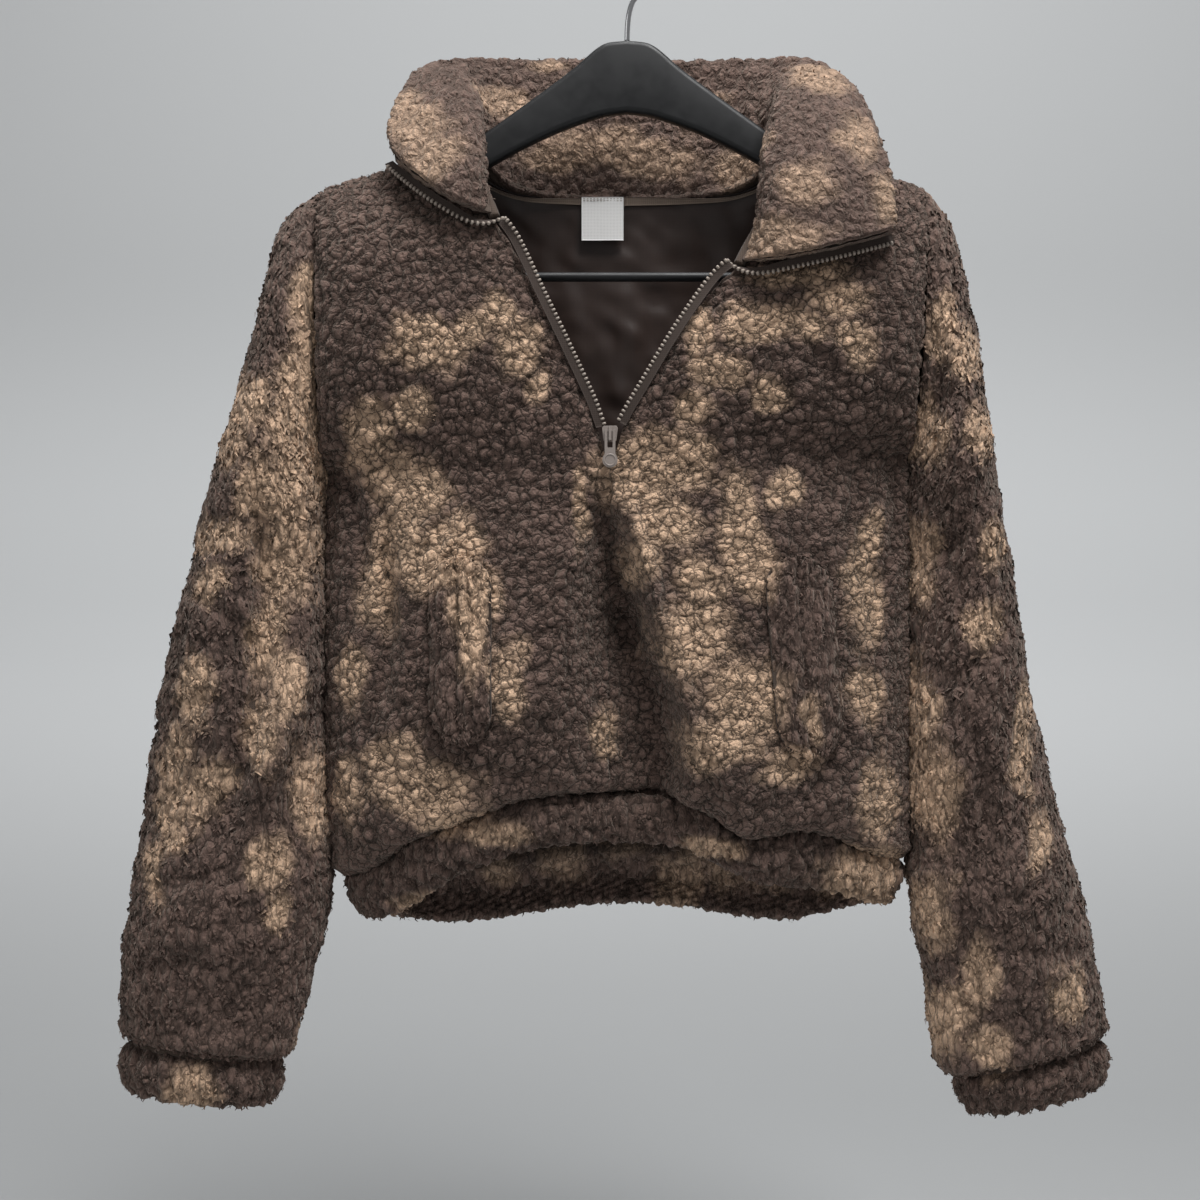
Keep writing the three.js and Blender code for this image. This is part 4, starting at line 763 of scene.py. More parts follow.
def body_panel(face, spots, seed):
    """The front or the back: a grid for each half, sunk along the creases, with shared directions where they meet."""
    sign = 1 if face == "front" else -1
    all_rows = ARMHOLE_ROWS + SIDE_ROWS
    rows = all_rows * even(lambda a: body_point(LEFT, face, 0.6 + 0 * a, all_rows * a), PANEL_ROWS)
    rows[np.argmin(np.abs(rows - ARMHOLE_ROWS))] = ARMHOLE_ROWS
    grids, outs, bases = [], [], []
    for half in (LEFT, RIGHT):
        q = even(lambda a: body_point(half, face, a, 1.5 * ARMHOLE_ROWS + 0 * a), PANEL_COLUMNS)
        grid = body_point(half, face, q[None, :], rows[:, None])
        grid = grid[:, ::-1] if half is RIGHT else grid
        fold = crease_depth(CREASES[face], grid[..., 0], grid[..., 2]) * smooth(run_length(grid, 1, half is RIGHT) / 8)
        base = grid + fold[..., None] * np.array([0, 1.3 * sign, 0])
        grid = grid + fold[..., None] * np.array([0, sign, 0])
        grids.append(grid)
        bases.append(np.where(fold[..., None] > 0, base, grid))
        outs.append(facing(grid, sign))
    shared = rows >= (ARMHOLE_ROWS if face == "front" else 0)
    mean = unit(outs[0][:, -1] + outs[1][:, 0])
    outs[0][shared, -1] = mean[shared]
    outs[1][shared, 0] = mean[shared]
    body_parts, lock_parts, shells = [], [], []
    for k, (grid, base, out) in enumerate(zip(grids, bases, outs)):
        from_side, from_middle = run_length(grid, 1, backwards=k == 1), run_length(grid, 1, backwards=k == 0)
        from_hem = run_length(grid, 0, backwards=True)
        trough = along_seam(from_side, 5, 1.4) + along_seam(from_hem) + along_seam(run_length(grid, 0))
        if face == "front":
            trough = trough + along_seam(from_middle, 4, 2.0) * smooth((12.4 - rows) / 0.8)[:, None]
        trough = trough - 5.0 * bell(from_side, 16) * smooth((-grid[..., 2] - 340) / 40)
        trough = trough - 4.5 * bell(from_hem - EDGE_ROLL, 10)
        moved, tan, painted_shade, surface, print_ = pile(grid, out, trough, spots, seed)
        body_parts.append((moved, quads_of(*moved.shape[:2])[:, ::-sign], tan, painted_shade))
        lock_parts.append(locks(surface, out, print_, 1700, 3.2, 0.5, seed + k + 20))
        pick = coarse(grid, 4)
        shells.append(shell(base[pick], out[pick], *GROUND_FACES))
    dress(face, body_parts, lock_parts, shells, SHERPA)


body_panel("front", PRINT_FRONT, 31)
body_panel("back", PRINT_BACK, 41)

# --- Sleeves and cuffs -------------------------------------------------------------------------------------------
# Each sleeve is one panel sewn into a tube and set into the armhole; its pile hangs in longer locks. The cuff is a
# short gathered band of the same cloth, turned in at the wrist.
SLEEVE_ROWS, SLEEVE_COLUMNS, CUFF_ROWS, CUFF_GATHERS = 256, 140, 20, 24
for half, name, seed in ((LEFT, "left", 51), (RIGHT, "right", 61)):
    sign = 1 if half is LEFT else -1
    at = even(lambda a: 0.5 * (sleeve_point(half, a, 0.25 + 0 * a) + sleeve_point(half, a, 0 * a)), SLEEVE_ROWS)
    turn = np.arange(SLEEVE_COLUMNS) / SLEEVE_COLUMNS
    tube = sleeve_point(half, at[:, None], turn[None, :])
    middle, reach = tube[..., :1].mean(axis=1), np.ptp(tube[..., 0], axis=1)[:, None] / 2
    inner_side = bell(1 + half["sign"] * (tube[..., 0] - middle) / reach, 0.3)
    fold = crease_depth(CREASES["sleeves"], tube[..., 0], tube[..., 2]) * smooth(run_length(tube, 0) / 20)
    fold = fold * (1 - 0.9 * inner_side)
    tube = tube - facing(tube, sign, wrapped=True) * fold[..., None]
    out = facing(tube, sign, wrapped=True)
    slack = 0.9 * noise(tube * np.array([0.6, 0.6, 1.6]), 34, seed + 3) * smooth(at[:, None] / 0.1)
    from_head, from_wrist = run_length(tube, 0), run_length(tube, 0, backwards=True)
    trough = along_seam(from_head, 5, 2.4) + along_seam(from_wrist) + 2.2 * slack
    trough = trough - 3.0 * bell(from_wrist - EDGE_ROLL, 10) - 1.5 * bell(from_head, 22)
    from_underarm = np.minimum(np.abs(turn - 0.5) * 300, 40)
    trough = trough + along_seam(from_underarm, 4, 1.6)[None, :]
    trough = trough - 6.0 * inner_side * smooth((-tube[..., 2] - 330) / 40)
    moved, _, painted_shade, surface, print_ = pile(tube, out, trough, PRINT_SLEEVES, seed, clump=8.5, hang=1.7,
                                           pads=ENDS_ONLY)
    hidden = printed(tube, PRINT_SLEEVES_BACK, seed + 4)
    print_ = mix(print_, hidden, smooth((tube[..., 1] + 4 + 24 * noise(tube, 38, seed + 6)) / 18))
    tan = np.pad(print_, ((1, 1), (0, 0)), mode="edge")
    points, faces = round_part(moved)
    strands = locks(closed(surface), closed(out), closed(print_), 11500, 6.8, 1.7, seed + 7, upright=0.27, spread=0.3)
    pick = coarse(tube, 4)
    dress("sleeve_" + name, [(points, faces[:, ::-sign], tan, painted_shade)], [strands],
          [shell(tube[pick], out[pick], -5.6, -8.0, wrapped=True)], HANGING_SHERPA)

    ring = cuff_point(half, np.linspace(0, 1, CUFF_ROWS)[:, None], turn[None, :])
    out = facing(ring, sign, wrapped=True)
    gathers = 1.3 * np.sin(2 * np.pi * (turn[None, :] * CUFF_GATHERS + 0.5 * noise(ring, 30, seed + 8)))
    trough = along_seam(run_length(ring, 0), 4, 2.0)
    moved, tan, painted_shade, surface, print_ = pile(ring, out, trough, PRINT_SLEEVES, seed + 2, clump=8, hang=1.5,
                                             ribs=gathers - 0.2, pads=ENDS_ONLY)
    points, faces = round_part(moved)
    strands = locks(closed(surface), closed(out), closed(print_), 1000, 4.2, 0.6, seed + 9, spread=0.6)
    pick = coarse(ring, 3)
    dress("cuff_" + name, [(points, faces[:, ::-sign], tan, painted_shade)], [strands],
          [shell(ring[pick], out[pick], -6.0, -9.0, wrapped=True)], HANGING_SHERPA)

# --- Hem band ----------------------------------------------------------------------------------------------------
# A gathered strip of the same sherpa, folded double and sewn round the hem, closed at the side. The front's is pulled
# up in the middle. The grid runs down the outer face, round the lower edge and up the inner face, past the seam.
BAND_COLUMNS, BAND_ROWS, BAND_WALL, GATHER_PITCH = 104, 20, 9, 13  # columns in a quarter; wall and pitch in mm
quarters = []
for half, face in ((LEFT, "front"), (RIGHT, "front"), (RIGHT, "back"), (LEFT, "back")):
    q = even(lambda a: band_point(half, face, a, 0.5 + 0 * a), BAND_COLUMNS)
    q = q if (half, face) in ((LEFT, "front"), (RIGHT, "back")) else q[::-1]
    quarters.append(band_point(half, face, q[None, :-1], np.linspace(0, 0.9, BAND_ROWS)[:, None]))
outer = np.concatenate(quarters, axis=1)
out = facing(outer, 1, wrapped=True)
inner = outer - BAND_WALL * out
rise = unit(outer[0] - outer[1])
inner = np.concatenate([inner[:1] + k * (4.2 * rise - 0.9 * out[0]) for k in (4, 3, 2, 1)] + [inner])
outer = np.concatenate([(outer[0] + 4 * rise - 1.5 * out[0])[None], outer])
outer_out = np.concatenate([out[:1], out])
low = unit(outer[-1] - outer[-2])
angle = np.linspace(0, np.pi, 8)[1:-1, None, None]
turned = (outer[-1] + inner[-1]) / 2 + BAND_WALL / 2 * (outer_out[-1] * np.cos(angle) + low * np.sin(angle))
band = np.concatenate([outer, turned, inner[::-1]])
out = facing(band, 1, wrapped=True)
from_inside = run_length(band, 0, backwards=True)
gathers = 1.2 * np.sin(2 * np.pi * (run_length(band, 1) / GATHER_PITCH + 0.6 * noise(band, 30, 77)))
trough = along_seam(run_length(band, 0), 7, 1.2) + along_seam(from_inside, 4, 2.0)
moved, _, painted_shade, surface, print_ = pile(band, out, trough, PRINT_FRONT, 71, clump=8.5, hang=1.4, ribs=gathers - 0.2,
                                       sink=4.0, pads=ENDS_ONLY)
# painted shade, full at the inner face's upper end inside the body and gone 13 mm below it
painted_shade = np.maximum(painted_shade, np.pad(smooth(1.3 - from_inside / 10), ((1, 1), (0, 0)), mode="edge"))
print_ = mix(print_, 0.6 * printed(band, PRINT_BACK, 78), smooth((band[..., 1] + 14 * noise(band, 40, 72)) / 16))
tan = np.pad(print_, ((1, 1), (0, 0)), mode="edge")
points, faces = round_part(moved)
pick = coarse(outer, 3)
dress("hem_band", [(points, faces[:, ::-1], tan, painted_shade)],
      [locks(closed(surface), closed(out), closed(print_), 2600, 4.2, 0.6, 79, spread=0.6)],
      [shell(outer[pick], outer_out[pick], -3.8, -5.4, wrapped=True)], HANGING_SHERPA)

# --- Collar ------------------------------------------------------------------------------------------------------
# A stand collar of two layers of sherpa, sewn round the neck. With the zip open it stands at the back and falls
# outwards at both fronts. Its grid runs up the outer face, over the rim and down the inner face into the seam.
FULL_WALL, COLLAR_COLUMNS, COLLAR_TONE = 11.0, 350, 0.58  # mm, and how much of the print's tan shows on it


def collar_wall(u, v):
    """The collar's thickness: thin at the foot and at the front corners, full from a third of the way up."""
    foot = 5 * np.minimum(1, 0.2 + 8 * np.minimum(u, 1 - u))
    return mix(foot, FULL_WALL, np.minimum(1, v * 3))


u = even(lambda a: collar_point(a, 0.6 + 0 * a), COLLAR_COLUMNS)[None, :]
v = np.linspace(0.0, 0.955, 62)[:, None]
outer, wall, foot_wall = collar_point(u, v), collar_wall(u, v), collar_wall(u, v[:1])
outer_out = facing(outer, 1)
inner = outer - outer_out * wall[..., None]
up = unit(outer[-1] - outer[-2])
angle = np.linspace(0, np.pi, 9)[1:-1, None, None]
rim = (outer[-1] + inner[-1]) / 2 + FULL_WALL / 2 * (outer_out[-1] * np.cos(angle) + up * np.sin(angle))
lap = np.linspace(0.25, 1, 4)[:, None, None] * (foot_wall / 5)[..., None]
foot = inner[:1] - lap * (5.5 * outer_out[:1] + 5 * unit(outer[1:2] - outer[:1]))
loop = np.concatenate([outer, rim, inner[::-1], foot])
thick = np.concatenate([wall, np.full((7, COLLAR_COLUMNS), FULL_WALL), wall[::-1], np.repeat(foot_wall, 4, axis=0)]) / 2
out = facing(loop, 1)
trough = along_seam(run_length(loop, 0), 5, 2.0) + along_seam(run_length(loop, 0, backwards=True), 5, 2.0)
trough = trough * np.minimum(1, thick / 5.5)
trough = trough + 1.4 * noise(loop, 40, 83) * smooth((thick - 2.5) / 3)
moved, tan, painted_shade, surface, print_ = pile(loop, out, trough, PRINT_COLLAR, 81, tall=2.8, sink=thick * 0.9)
pick = coarse(outer, 4)
# the collar gets four fifths of the pile's painted shade
dress("collar", [(moved, quads_of(*moved.shape[:2])[:, ::-1], COLLAR_TONE * tan, 0.8 * painted_shade)],
      [locks(surface, out, COLLAR_TONE * print_, 3000, 3.5, 0.55, 84)],
      [shell(outer[pick], outer_out[pick], -1.6, -3.4)], BRUSHED_SHERPA)

# --- Seam allowances ---------------------------------------------------------------------------------------------
# Inside the side, shoulder, armhole, wrist and neck seams the two cut edges are overlocked together into a soft
# ridge about 6 mm thick, which also closes the seam to light.
def tube_along(path, radius, sides=20):
    """A round wire: a circle carried along a path, its frame kept square to the path, closed at both ends."""
    path = np.asarray(path, float)
    ahead = unit(np.gradient(path, axis=0))
    first = np.cross(ahead, np.array([0.0, 1.0, 0.0]))
    first = unit(np.where(np.linalg.norm(first, axis=-1, keepdims=True) < 0.3, np.array([1.0, 0, 0]), first))
    second = np.cross(ahead, first)
    turn = np.linspace(0, 2 * np.pi, sides, endpoint=False)[None, :, None]
    ring = path[:, None] + radius * (first[:, None] * np.cos(turn) + second[:, None] * np.sin(turn))
    ends = [path[0] + 0 * ring[:1], path[-1] + 0 * ring[:1]]
    return np.concatenate([ends[0], ring, ends[1]])


ridges = []
for half in (LEFT, RIGHT):
    inwards = np.array([-half["sign"], 0, 0], float)
    t = np.linspace(0, 1, 60)
    ridges.append(lower_point(half, "front", 0 * t, t) + 5 * inwards)
    ridges.append(top_point(half, "front", t * 0.97) + np.array([0, 0, -5.5]))
    armhole = sleeve_point(half, 0 * t, t)
    ridges.append(armhole + 4.5 * inwards + 2.0 * unit(armhole.mean(axis=0) - armhole))
    wrist = cuff_point(half, 0 * t, t)
    ridges.append(wrist + 5 * unit(wrist.mean(axis=0) - wrist))
tubes = [tube_along(path, 3.0, 8) for path in ridges]
neck = collar_point(u[0], 0 * u[0])
tubes.append(tube_along(neck - outer_out[0] * 4.0 + np.array([0, 0, -4.5]), 3.8, 8))
seams = make_mesh("seam_allowances", [round_part(tube) for tube in tubes], KNIT)
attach(seams, "pullover")

# --- Pocket welts ------------------------------------------------------------------------------------------------
# Two upright openings on the front, each bound by a padded lozenge of the same fleece with rounded ends.
WELTS = [("pocket_welt_left", -118, -116, -448, -578, 44), ("pocket_welt_right", 118, 128, -447, -588, 48)]


def front_at(x, z):
    """The front's surface point at each place of the front view, found by halving the height's range."""
    halves = []
    for half in (LEFT, RIGHT):
        low, high = np.zeros(x.shape), np.ones(x.shape)
        for _ in range(24):
            t = (low + high) / 2
            side = column(half["side"], 1, t)
            q = np.clip((x - side) / (SLIT_END[0] - side), 0, 1) ** (1 / EDGE_CROWDING)
            found = lower_point(half, "front", q, t)
            above = found[..., 2] > z
            low, high = np.where(above, t, low), np.where(above, high, t)
        halves.append(found)
    return np.where((x < SLIT_END[0])[..., None], *halves)


for k, (name, top_x, bottom_x, top_z, bottom_z, wide) in enumerate(WELTS):
    radius, long = wide / 2, (top_z - bottom_z) / 2
    turn = np.linspace(0, np.pi, 74)[:, None]
    side = np.linspace(-1, 1, 30)[None, :]
    along = -np.cos(turn) * long * 0.995
    reach = np.sqrt(radius ** 2 - np.maximum(0, np.abs(along) - long + radius) ** 2) * side
    middle = mix(top_x, bottom_x, along / long / 2 + 0.5)
    sheet = front_at(middle + reach, (top_z + bottom_z) / 2 - along + 0 * side)
    out = facing(sheet, 1)
    ends = np.linspace(-1, 1, 74)[:, None]
    high = 1 + 8 * (1 - 0.7 * np.maximum(side ** 4, ends ** 12))
    domed = sheet + out * high[..., None]
    out_domed = facing(domed, 1)
    opening = 2.2 * bell(side * radius + 2, 2.2) * smooth((1 - np.abs(ends)) / 0.25)
    moved, tan, painted_shade, surface, print_ = pile(domed, out_domed, opening, PRINT_FRONT, 91 + k, clump=8, hang=1.4,
                                             tall=3.8, sink=3.5)
    pick = coarse(sheet, 3)
    dress(name, [(moved, quads_of(*moved.shape[:2])[:, ::-1], tan, painted_shade)],
          [locks(surface, out_domed, print_, 500, 4.0, 0.6, 95 + k, spread=0.5)],
          [shell(sheet[pick], out[pick], 2.6, 1.0)], HANGING_SHERPA)

# --- Lining, neck tape and label ---------------------------------------------------------------------------------
# A satin lining backs the yoke and faces the slit. It is cut slack, so it lies in shallow upright ripples. The neck
# seam is bound with woven tape, and a blank white label hangs from it by two rows of stitches.
SATIN = woven_material("polyester_satin", "#3d2e28", 0.0011, 0.42, depth=0.00005, sheen=0.15, specular=0.5)
TAPE = woven_material("cotton_tape", "#8a7a6d", 0.0016, 0.85, depth=0.0003)
LABEL = woven_material("woven_label", "#fdfcfa", 0.0011, 0.6, depth=0.0001, sheen=0.2, worn=0.95)


def lining_panel(node, face, pieces):
    """A lining under one or both halves of a body panel: 9 mm behind it, and up to 4 mm more where it ripples."""
    sign = 1 if face == "front" else -1
    grids = []
    for half, q_range, row_range in pieces:
        grid = body_point(half, face, np.linspace(*q_range, 44)[None, :], np.linspace(*row_range, 70)[:, None])
        grids.append(grid[:, ::-1] if half is RIGHT else grid)
    grid = grids[0] if len(grids) == 1 else np.concatenate([grids[0], grids[1][:, 1:]], axis=1)
    out = facing(grid, sign)
    leaning = grid * np.array([1, 1, 0.6]) + grid[..., 2:] * 0.3
    ripple = (noise(grid * np.array([1, 1, 0.3]), 20, 97) + 0.7 * noise(leaning, 13, 98)
              + 0.5 * np.abs(noise(grid, 30, 99)))
    edge = smooth(run_length(grid, 0) / 22) * smooth(run_length(grid, 0, backwards=True) / 22)
    slack = grid - out * (9.1 + 2.6 * np.maximum(0, ripple + 0.5) * edge)[..., None]
    made = make_mesh(node + "_satin", [shell(slack, out, 0.2, -0.5)], SATIN)
    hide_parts(node)
    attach(made, "pullover")


lining_panel("lining_back", "back", [(LEFT, (8 / 13, 1), (0, 12)), (RIGHT, (8 / 13, 1), (0, 12))])
lining_panel("lining_front_left", "front", [(LEFT, (9 / 13, 1), (4, 12))])
lining_panel("lining_front_right", "front", [(RIGHT, (9 / 13, 1), (4, 12))])

parts = []
for half in (LEFT, RIGHT):
    q = np.linspace(SHOULDER_SHARE + (1 - SHOULDER_SHARE) / 7, 1, 60)[None, :]
    grid = upper_point(half, "back", q, 0.031 * (np.linspace(0, 1, 6)[:, None] + 0.1))
    grid = grid[:, ::-1] if half is RIGHT else grid
    parts.append(shell(grid, facing(grid, -1), -11.8, -12.8))
tape = make_mesh("neck_tape_woven", parts, TAPE)
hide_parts("neck_tape")
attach(tape, "pullover")

LABEL_WIDE, LABEL_LONG = 32, 33
across, down = np.meshgrid(np.linspace(-LABEL_WIDE / 2, LABEL_WIDE / 2, 33), np.linspace(0, LABEL_LONG, 34))
label = xyz(-18 + across, 34 - 0.5 * np.sin(np.pi * down / LABEL_LONG) - 0.25 * np.sin(across / 5), -171 - down)
made = make_mesh("label_woven", [shell(label, facing(label, 1), 0.35, -0.35)], LABEL)
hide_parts("label")
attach(made, "pullover")


def squared(value):
    return np.sign(value) * np.abs(value) ** 0.45


def lozenges(places, long_way, wide_way, sizes, name, material, rows=5, columns=8):
    """Small rounded blocks: a ball with its sides squared, one at each place, turned to two given directions."""
    lat = np.linspace(-np.pi / 2, np.pi / 2, rows)[:, None]
    lon = np.linspace(0, 2 * np.pi, columns, endpoint=False)[None, :]
    ball = xyz(squared(np.cos(lat)) * squared(np.cos(lon)), squared(np.cos(lat)) * squared(np.sin(lon)),
               squared(np.sin(lat)) + 0 * lon)
    third = np.cross(long_way, wide_way)
    axes = np.stack([long_way * sizes[0] / 2, wide_way * sizes[1] / 2, third * sizes[2] / 2], axis=1)
    points = places[:, None, :] + np.einsum("vk,nkj->nvj", ball.reshape(-1, 3), axes)
    number = np.arange(len(places))[:, None] * rows * columns
    faces = (quads_of(rows, columns, wrapped=True)[None] + number[..., None]).reshape(-1, 4)
    return make_mesh(name, [(points.reshape(-1, 3), faces)], material)


THREAD = woven_material("sewing_thread", "#9c8c7e", 0.0006, 0.7)
IN_ROW = 12
stitch_x = np.tile(np.linspace(-32, -4, IN_ROW), 2)
stitch_z = np.repeat([-172.5, -174.0], IN_ROW)
flat_x, flat_z = np.tile([1.0, 0, 0], (2 * IN_ROW, 1)), np.tile([0, 0, 1.0], (2 * IN_ROW, 1))
stitches = lozenges(xyz(stitch_x, 33.45, stitch_z), flat_x, flat_z, (1.7, 0.5, 0.4), "label_stitches", THREAD)
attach(stitches, "pullover")

# --- Zip ---------------------------------------------------------------------------------------------------------
# A moulded zip on woven tape, closed only below the slit: both rows of teeth run up the slit's edges and out along
# the collar's front edges. The slider and its pull, zinc painted taupe, hang where the rows part.
ON_SLIT, ON_COLLAR, TOOTH_PITCH = 14, 11, 3.3  # points of a tape on each, and the teeth's pitch in mm


def tape_run(half):
    """Points along one tape's edge, with the directions along it, away from the fleece and out of it."""
    left = half is LEFT
    at = half["zip_end"] * (1 - np.arange(ON_SLIT) / ON_SLIT)
    t = mix(NECK_SHARE, 1, at)
    v = 0.995 * np.arange(ON_COLLAR) / (ON_COLLAR - 1)
    u = np.full(ON_COLLAR, 0.0 if left else 1.0)
    one = np.ones(ON_SLIT)
    edge = np.concatenate([upper_point(half, "front", one, t), collar_point(u, v)])
    inside = np.concatenate([upper_point(half, "front", 0.96 * one, t), collar_point(np.abs(u - 0.01), v)])
    beyond = np.concatenate([upper_point(half, "front", one, t - 0.01), collar_point(u, v + 0.005)])
    sunk = np.concatenate([mix(4, -2, at ** 2), np.full(ON_COLLAR, 4.0)])
    along = unit(beyond - edge)

    def square(direction):
        return unit(direction - along * np.sum(direction * along, axis=-1, keepdims=True))

    away = square(edge - inside)
    for _ in range(10):
        blended = away[:-2] + away[1:-1] + away[2:]
        away[1:-1] = square(np.concatenate([away[:1], blended, away[-1:]]))[1:-1]
    out = np.cross(along, away) * (1 if left else -1)
    off = 0.7 + 3.6 * bell(np.arange(ON_SLIT + ON_COLLAR) - ON_SLIT, 3)
    start = edge + away * off[:, None] - out * sunk[:, None]
    run = run_of(start)

    def at_length(s):
        lines = [np.stack([curve(run, line[:, k], s) for k in range(3)], axis=-1) for line in (start, along, away, out)]
        return lines[0], *map(unit, lines[1:])

    return run[-1], at_length


ZIP_TAPE = woven_material("zip_tape_woven", "#4b403a", 0.0014, 0.85, depth=0.0002)
TEETH = new_material("acetal_teeth", Roughness=0.42, Specular_IOR_Level=0.45, Base_Color=colour("#a5998e"))[0]
for half, side in ((LEFT, "left"), (RIGHT, "right")):
    length, at_length = tape_run(half)
    place, along, away, out = at_length(np.linspace(0, length, 150))
    spread = np.linspace(-2.0, 4.4, 8)
    strip = place[:, None, :] + away[:, None, :] * spread[None, :, None]
    outs = np.repeat(out[:, None, :], 8, axis=1)
    tape = make_mesh(f"zip_tape_{side}_woven", [shell(strip, outs, 0.45, -0.45)], ZIP_TAPE)
    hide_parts("zip_tape_" + side)
    place, along, away, out = at_length((np.arange(int(length / TOOTH_PITCH)) + 0.5) * TOOTH_PITCH)
    teeth = lozenges(place + away * 4.3, away, along, (3.0, 1.9, 2.6), "zip_teeth_" + side, TEETH)
    for piece in (tape, teeth):
        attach(piece, "pullover")


def painted_metal(name, shade):
    """Die-cast zinc under satin paint: a smooth coat with a faint orange-peel ripple, a little lighter in spots."""
    material, tree, shader = new_material(name, Roughness=0.38, Coat_Weight=0.25, Coat_Roughness=0.2)
    worn = noise_texture(tree, object_place(tree), 700.0, 3.0)
    finish_surface(tree, shader, worn, 0.2, 0.0001, ramp_mix(tree, worn, colour(shade), colour(shade, 1.35)))
    return material


ZINC = painted_metal("painted_zinc", "#8a807a")
for name in ("zip_slider", "zip_pull"):
    part = nodes[name]
    part.data.materials.clear()
    part.data.materials.append(ZINC)
    part.modifiers.new("merge", "WELD").merge_threshold = 0.00001
    soften = part.modifiers.new("edges", "BEVEL")
    soften.width, soften.segments, soften.limit_method = 0.0003, 2, "ANGLE"
turn = np.linspace(0, 2 * np.pi, 32, endpoint=False)[None, :]
tube = np.linspace(0, 2 * np.pi, 10)[:, None]
radius = 3.9 + 0.55 * np.cos(tube)
ring = xyz(-13 + radius * np.cos(turn), -64.75 + 0.4 * np.sin(tube) + 0 * turn, -380.1 + radius * np.sin(turn))
ring = make_mesh("zip_pull_ring", [round_part(ring)], ZINC)
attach(ring, "pull")

# --- Hanger ------------------------------------------------------------------------------------------------------
# A moulded polypropylene hanger with a separate trouser bar and a bright steel wire hook. Its body is a flat arch
# with all edges rounded and a plain face.
HANGER_OUTLINE = [
    (0, -65), (18, -68), (40, -86), (75, -112), (112, -138), (150, -162.2), (175, -176.2), (198, -187.2), (212, -198),
    (216, -206), (210, -213), (198, -211), (175, -203), (150, -190), (112, -164), (60, -136), (20, -121), (0, -118)]


def plastic(name, shade, roughness):
    """Moulded polypropylene: a slightly soft gloss with a very fine moulded grain and faint sink marks."""
    material, tree, shader = new_material(name, Roughness=roughness, Specular_IOR_Level=0.5, Base_Color=colour(shade))
    grain = noise_texture(tree, object_place(tree), 90.0, 5.0)
    tree.links.new(ranged(tree, grain, 0.3, 0.7, roughness - 0.06, roughness + 0.08), shader.inputs["Roughness"])
    finish_surface(tree, shader, grain, 0.12, 0.0006)
    return material


BLACK_PLASTIC = plastic("polypropylene_black", "#101113", 0.48)
right = respaced(np.array(HANGER_OUTLINE, float), 150)
arch = np.concatenate([right, right[-2:0:-1] * np.array([-1, 1])])
step = np.roll(arch, -1, axis=0) - np.roll(arch, 1, axis=0)
inward = unit(np.stack([step[:, 1], -step[:, 0]], axis=-1))
angle = np.linspace(-np.pi / 2, np.pi / 2, 11)[:, None]
shrink = 4 * (1 - np.cos(angle))
ring = arch[None] + inward[None] * shrink[..., None]
depth = np.sign(angle) * 2 + 4 * np.sin(angle)
walls = xyz(ring[..., 0], -depth + 0 * ring[..., 0], ring[..., 1])
hanger = make_mesh("hanger_moulded", [round_part(walls)], BLACK_PLASTIC)
caps = bmesh.new()
caps.from_mesh(hanger.data)
bmesh.ops.holes_fill(caps, edges=[edge for edge in caps.edges if edge.is_boundary], sides=0)
bmesh.ops.triangulate(caps, faces=[face for face in caps.faces if len(face.verts) > 4])
caps.to_mesh(hanger.data)
caps.free()
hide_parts("hanger")
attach(hanger, "pullover")

BAR_REACH, BAR_HEIGHT, BAR_RADIUS = 172, -239, 3.5
rod_x = np.linspace(-BAR_REACH, BAR_REACH, 60)
post_z = np.linspace(BAR_HEIGHT, -203.8, 12)
rods = [xyz(rod_x, 0 * rod_x, BAR_HEIGHT)] + [xyz(x + 0 * post_z, 0 * post_z, post_z) for x in (-BAR_REACH, BAR_REACH)]
bar = make_mesh("hanger_bar_moulded", [round_part(tube_along(rod, BAR_RADIUS)) for rod in rods], BLACK_PLASTIC)
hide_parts("hanger_bar")
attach(bar, "pullover")

STEEL = new_material("bright_steel_wire", Metallic=1.0, Roughness=0.16, Base_Color=colour("#cfd0d2"))[0]
HOOK_RADIUS, WIRE_RADIUS = 17, 2.0
angle = np.radians(np.arange(-52, 205, 16))
bend = HOOK_RADIUS * np.stack([np.cos(angle), np.sin(angle)], axis=-1) + np.array([0, 2 - HOOK_RADIUS])
wire = respaced(np.concatenate([[(0, -64.6), (0.3, -55), (1.5, -44), (4.5, -35)], bend]), 120)
wire = tube_along(xyz(wire[:, 0], 0 * wire[:, 0], wire[:, 1]), WIRE_RADIUS)
hook = make_mesh("hook_wire", [round_part(wire)], STEEL)
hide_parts("hanger_hook")
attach(hook, "pullover")
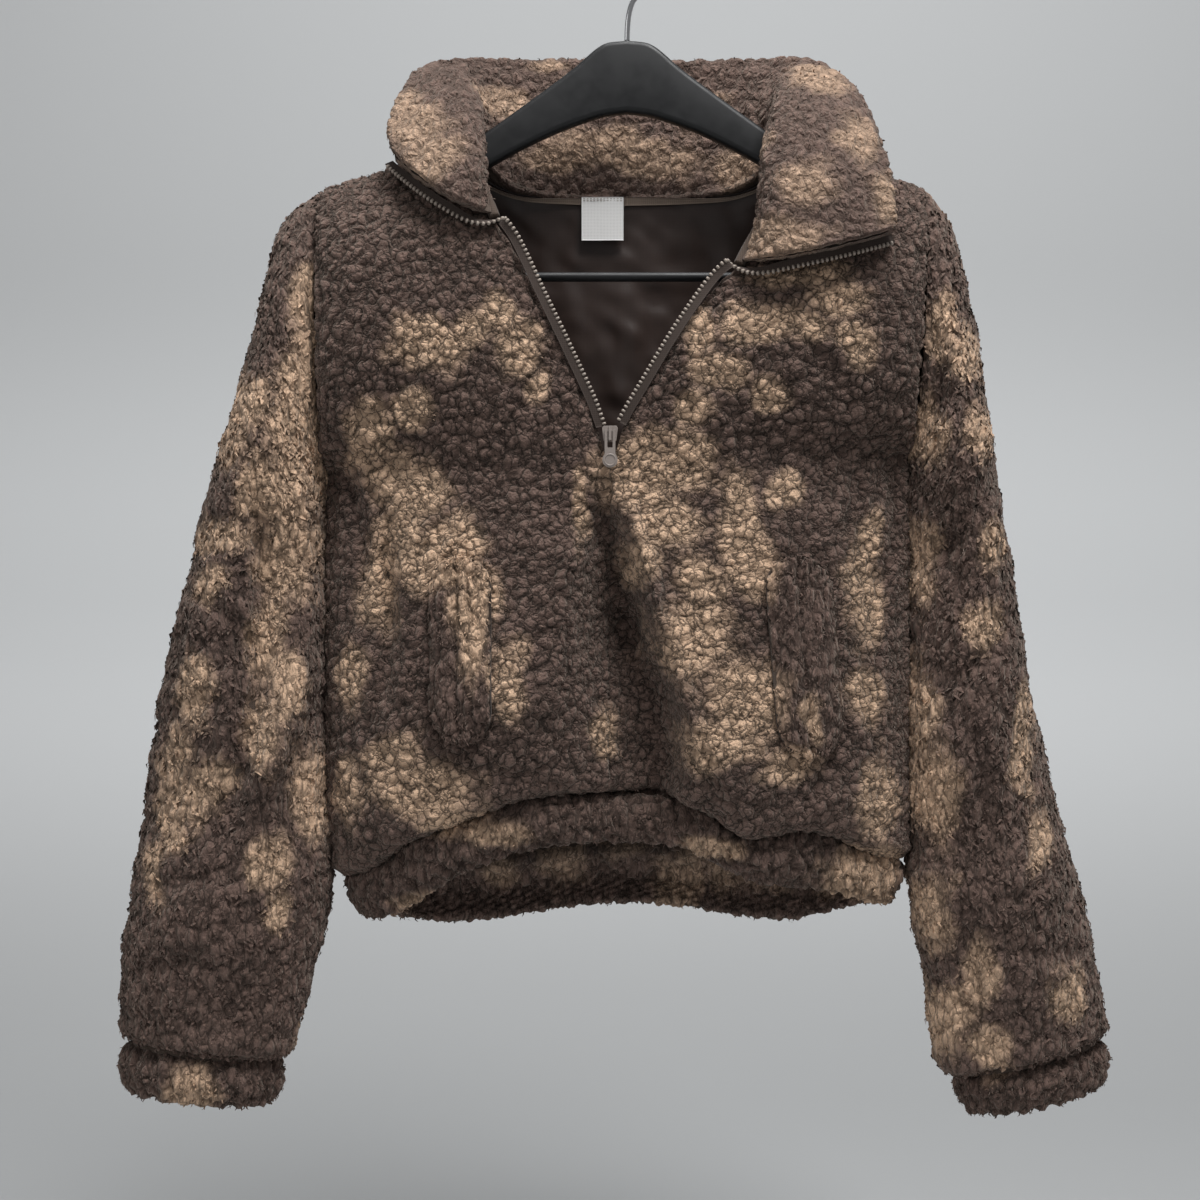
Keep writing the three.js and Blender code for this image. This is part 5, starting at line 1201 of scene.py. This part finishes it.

# --- Floor and light ---------------------------------------------------------------------------------------------
# A pale sweep of paper that curves up behind the garment, darkened low down and high up by painted shade, and soft
# boxes in front, above and beside it.
PAPER, tree, paper = new_material("pale_paper", Roughness=0.9, Specular_IOR_Level=0.1)
height = add_node(tree, "ShaderNodeSeparateXYZ", Vector=object_place(tree)).outputs["Z"]
# painted shade: the paper's colour dims below -0.6 m and above -0.35 m of height
painted_backdrop_shade = reckoned(tree, "MULTIPLY", ranged(tree, height, -1.2, -0.6, 0.62, 1.0, soft=True),
               ranged(tree, height, -0.35, 0.15, 1.0, 0.78, soft=True))
tree.links.new(scaled(tree, colour("#dfe1e2")[:3], painted_backdrop_shade), paper.inputs["Base Color"])
FLOOR_FRONT, FLOOR_BACK, FLOOR_LEVEL, BEND, WALL_RISE = -4000, 900, -1150, 700, 5000
s = np.linspace(0, 1, 60)[:, None]
x = np.linspace(-6000, 6000, 24)[None, :]
quarter = (s - 0.5) / 0.2 * np.pi / 2
back_y = np.where(s < 0.5, mix(FLOOR_FRONT, FLOOR_BACK, s / 0.5),
                  np.where(s < 0.7, FLOOR_BACK + BEND * np.sin(quarter), FLOOR_BACK + BEND))
wall_foot = FLOOR_LEVEL + BEND
back_z = np.where(s < 0.5, FLOOR_LEVEL, np.where(s < 0.7, wall_foot - BEND * np.cos(quarter),
                                                 wall_foot + WALL_RISE * (s - 0.7) / 0.3))
sweep = xyz(x + 0 * s, back_y + 0 * x, back_z + 0 * x)
make_mesh("sweep", [(sweep, quads_of(60, 24))], PAPER)


def soft_box(name, place, target, size, power):
    lamp = bpy.data.lights.new(name, "AREA")
    lamp.shape, lamp.size, lamp.energy = "SQUARE", size, power
    made = bpy.data.objects.new(name, lamp)
    made.location = place
    made.rotation_euler = (Vector(target) - Vector(place)).to_track_quat("-Z", "Y").to_euler()
    scene.collection.objects.link(made)


soft_box("key", (0.55, -1.15, 1.75), (0, 0, -0.5), 0.9, 50)
soft_box("fill", (-2.0, -1.6, 0.4), (0, 0, -0.5), 1.6, 8)
soft_box("top", (0.1, -0.3, 1.9), (0, 0, -0.4), 1.3, 27)
world = bpy.data.worlds.new("soft_room")
world.use_nodes = True
world.node_tree.nodes["Background"].inputs["Color"].default_value = colour("#f4f4f5")
world.node_tree.nodes["Background"].inputs["Strength"].default_value = 0.25
scene.world = world
scene.view_settings.view_transform = "Standard"
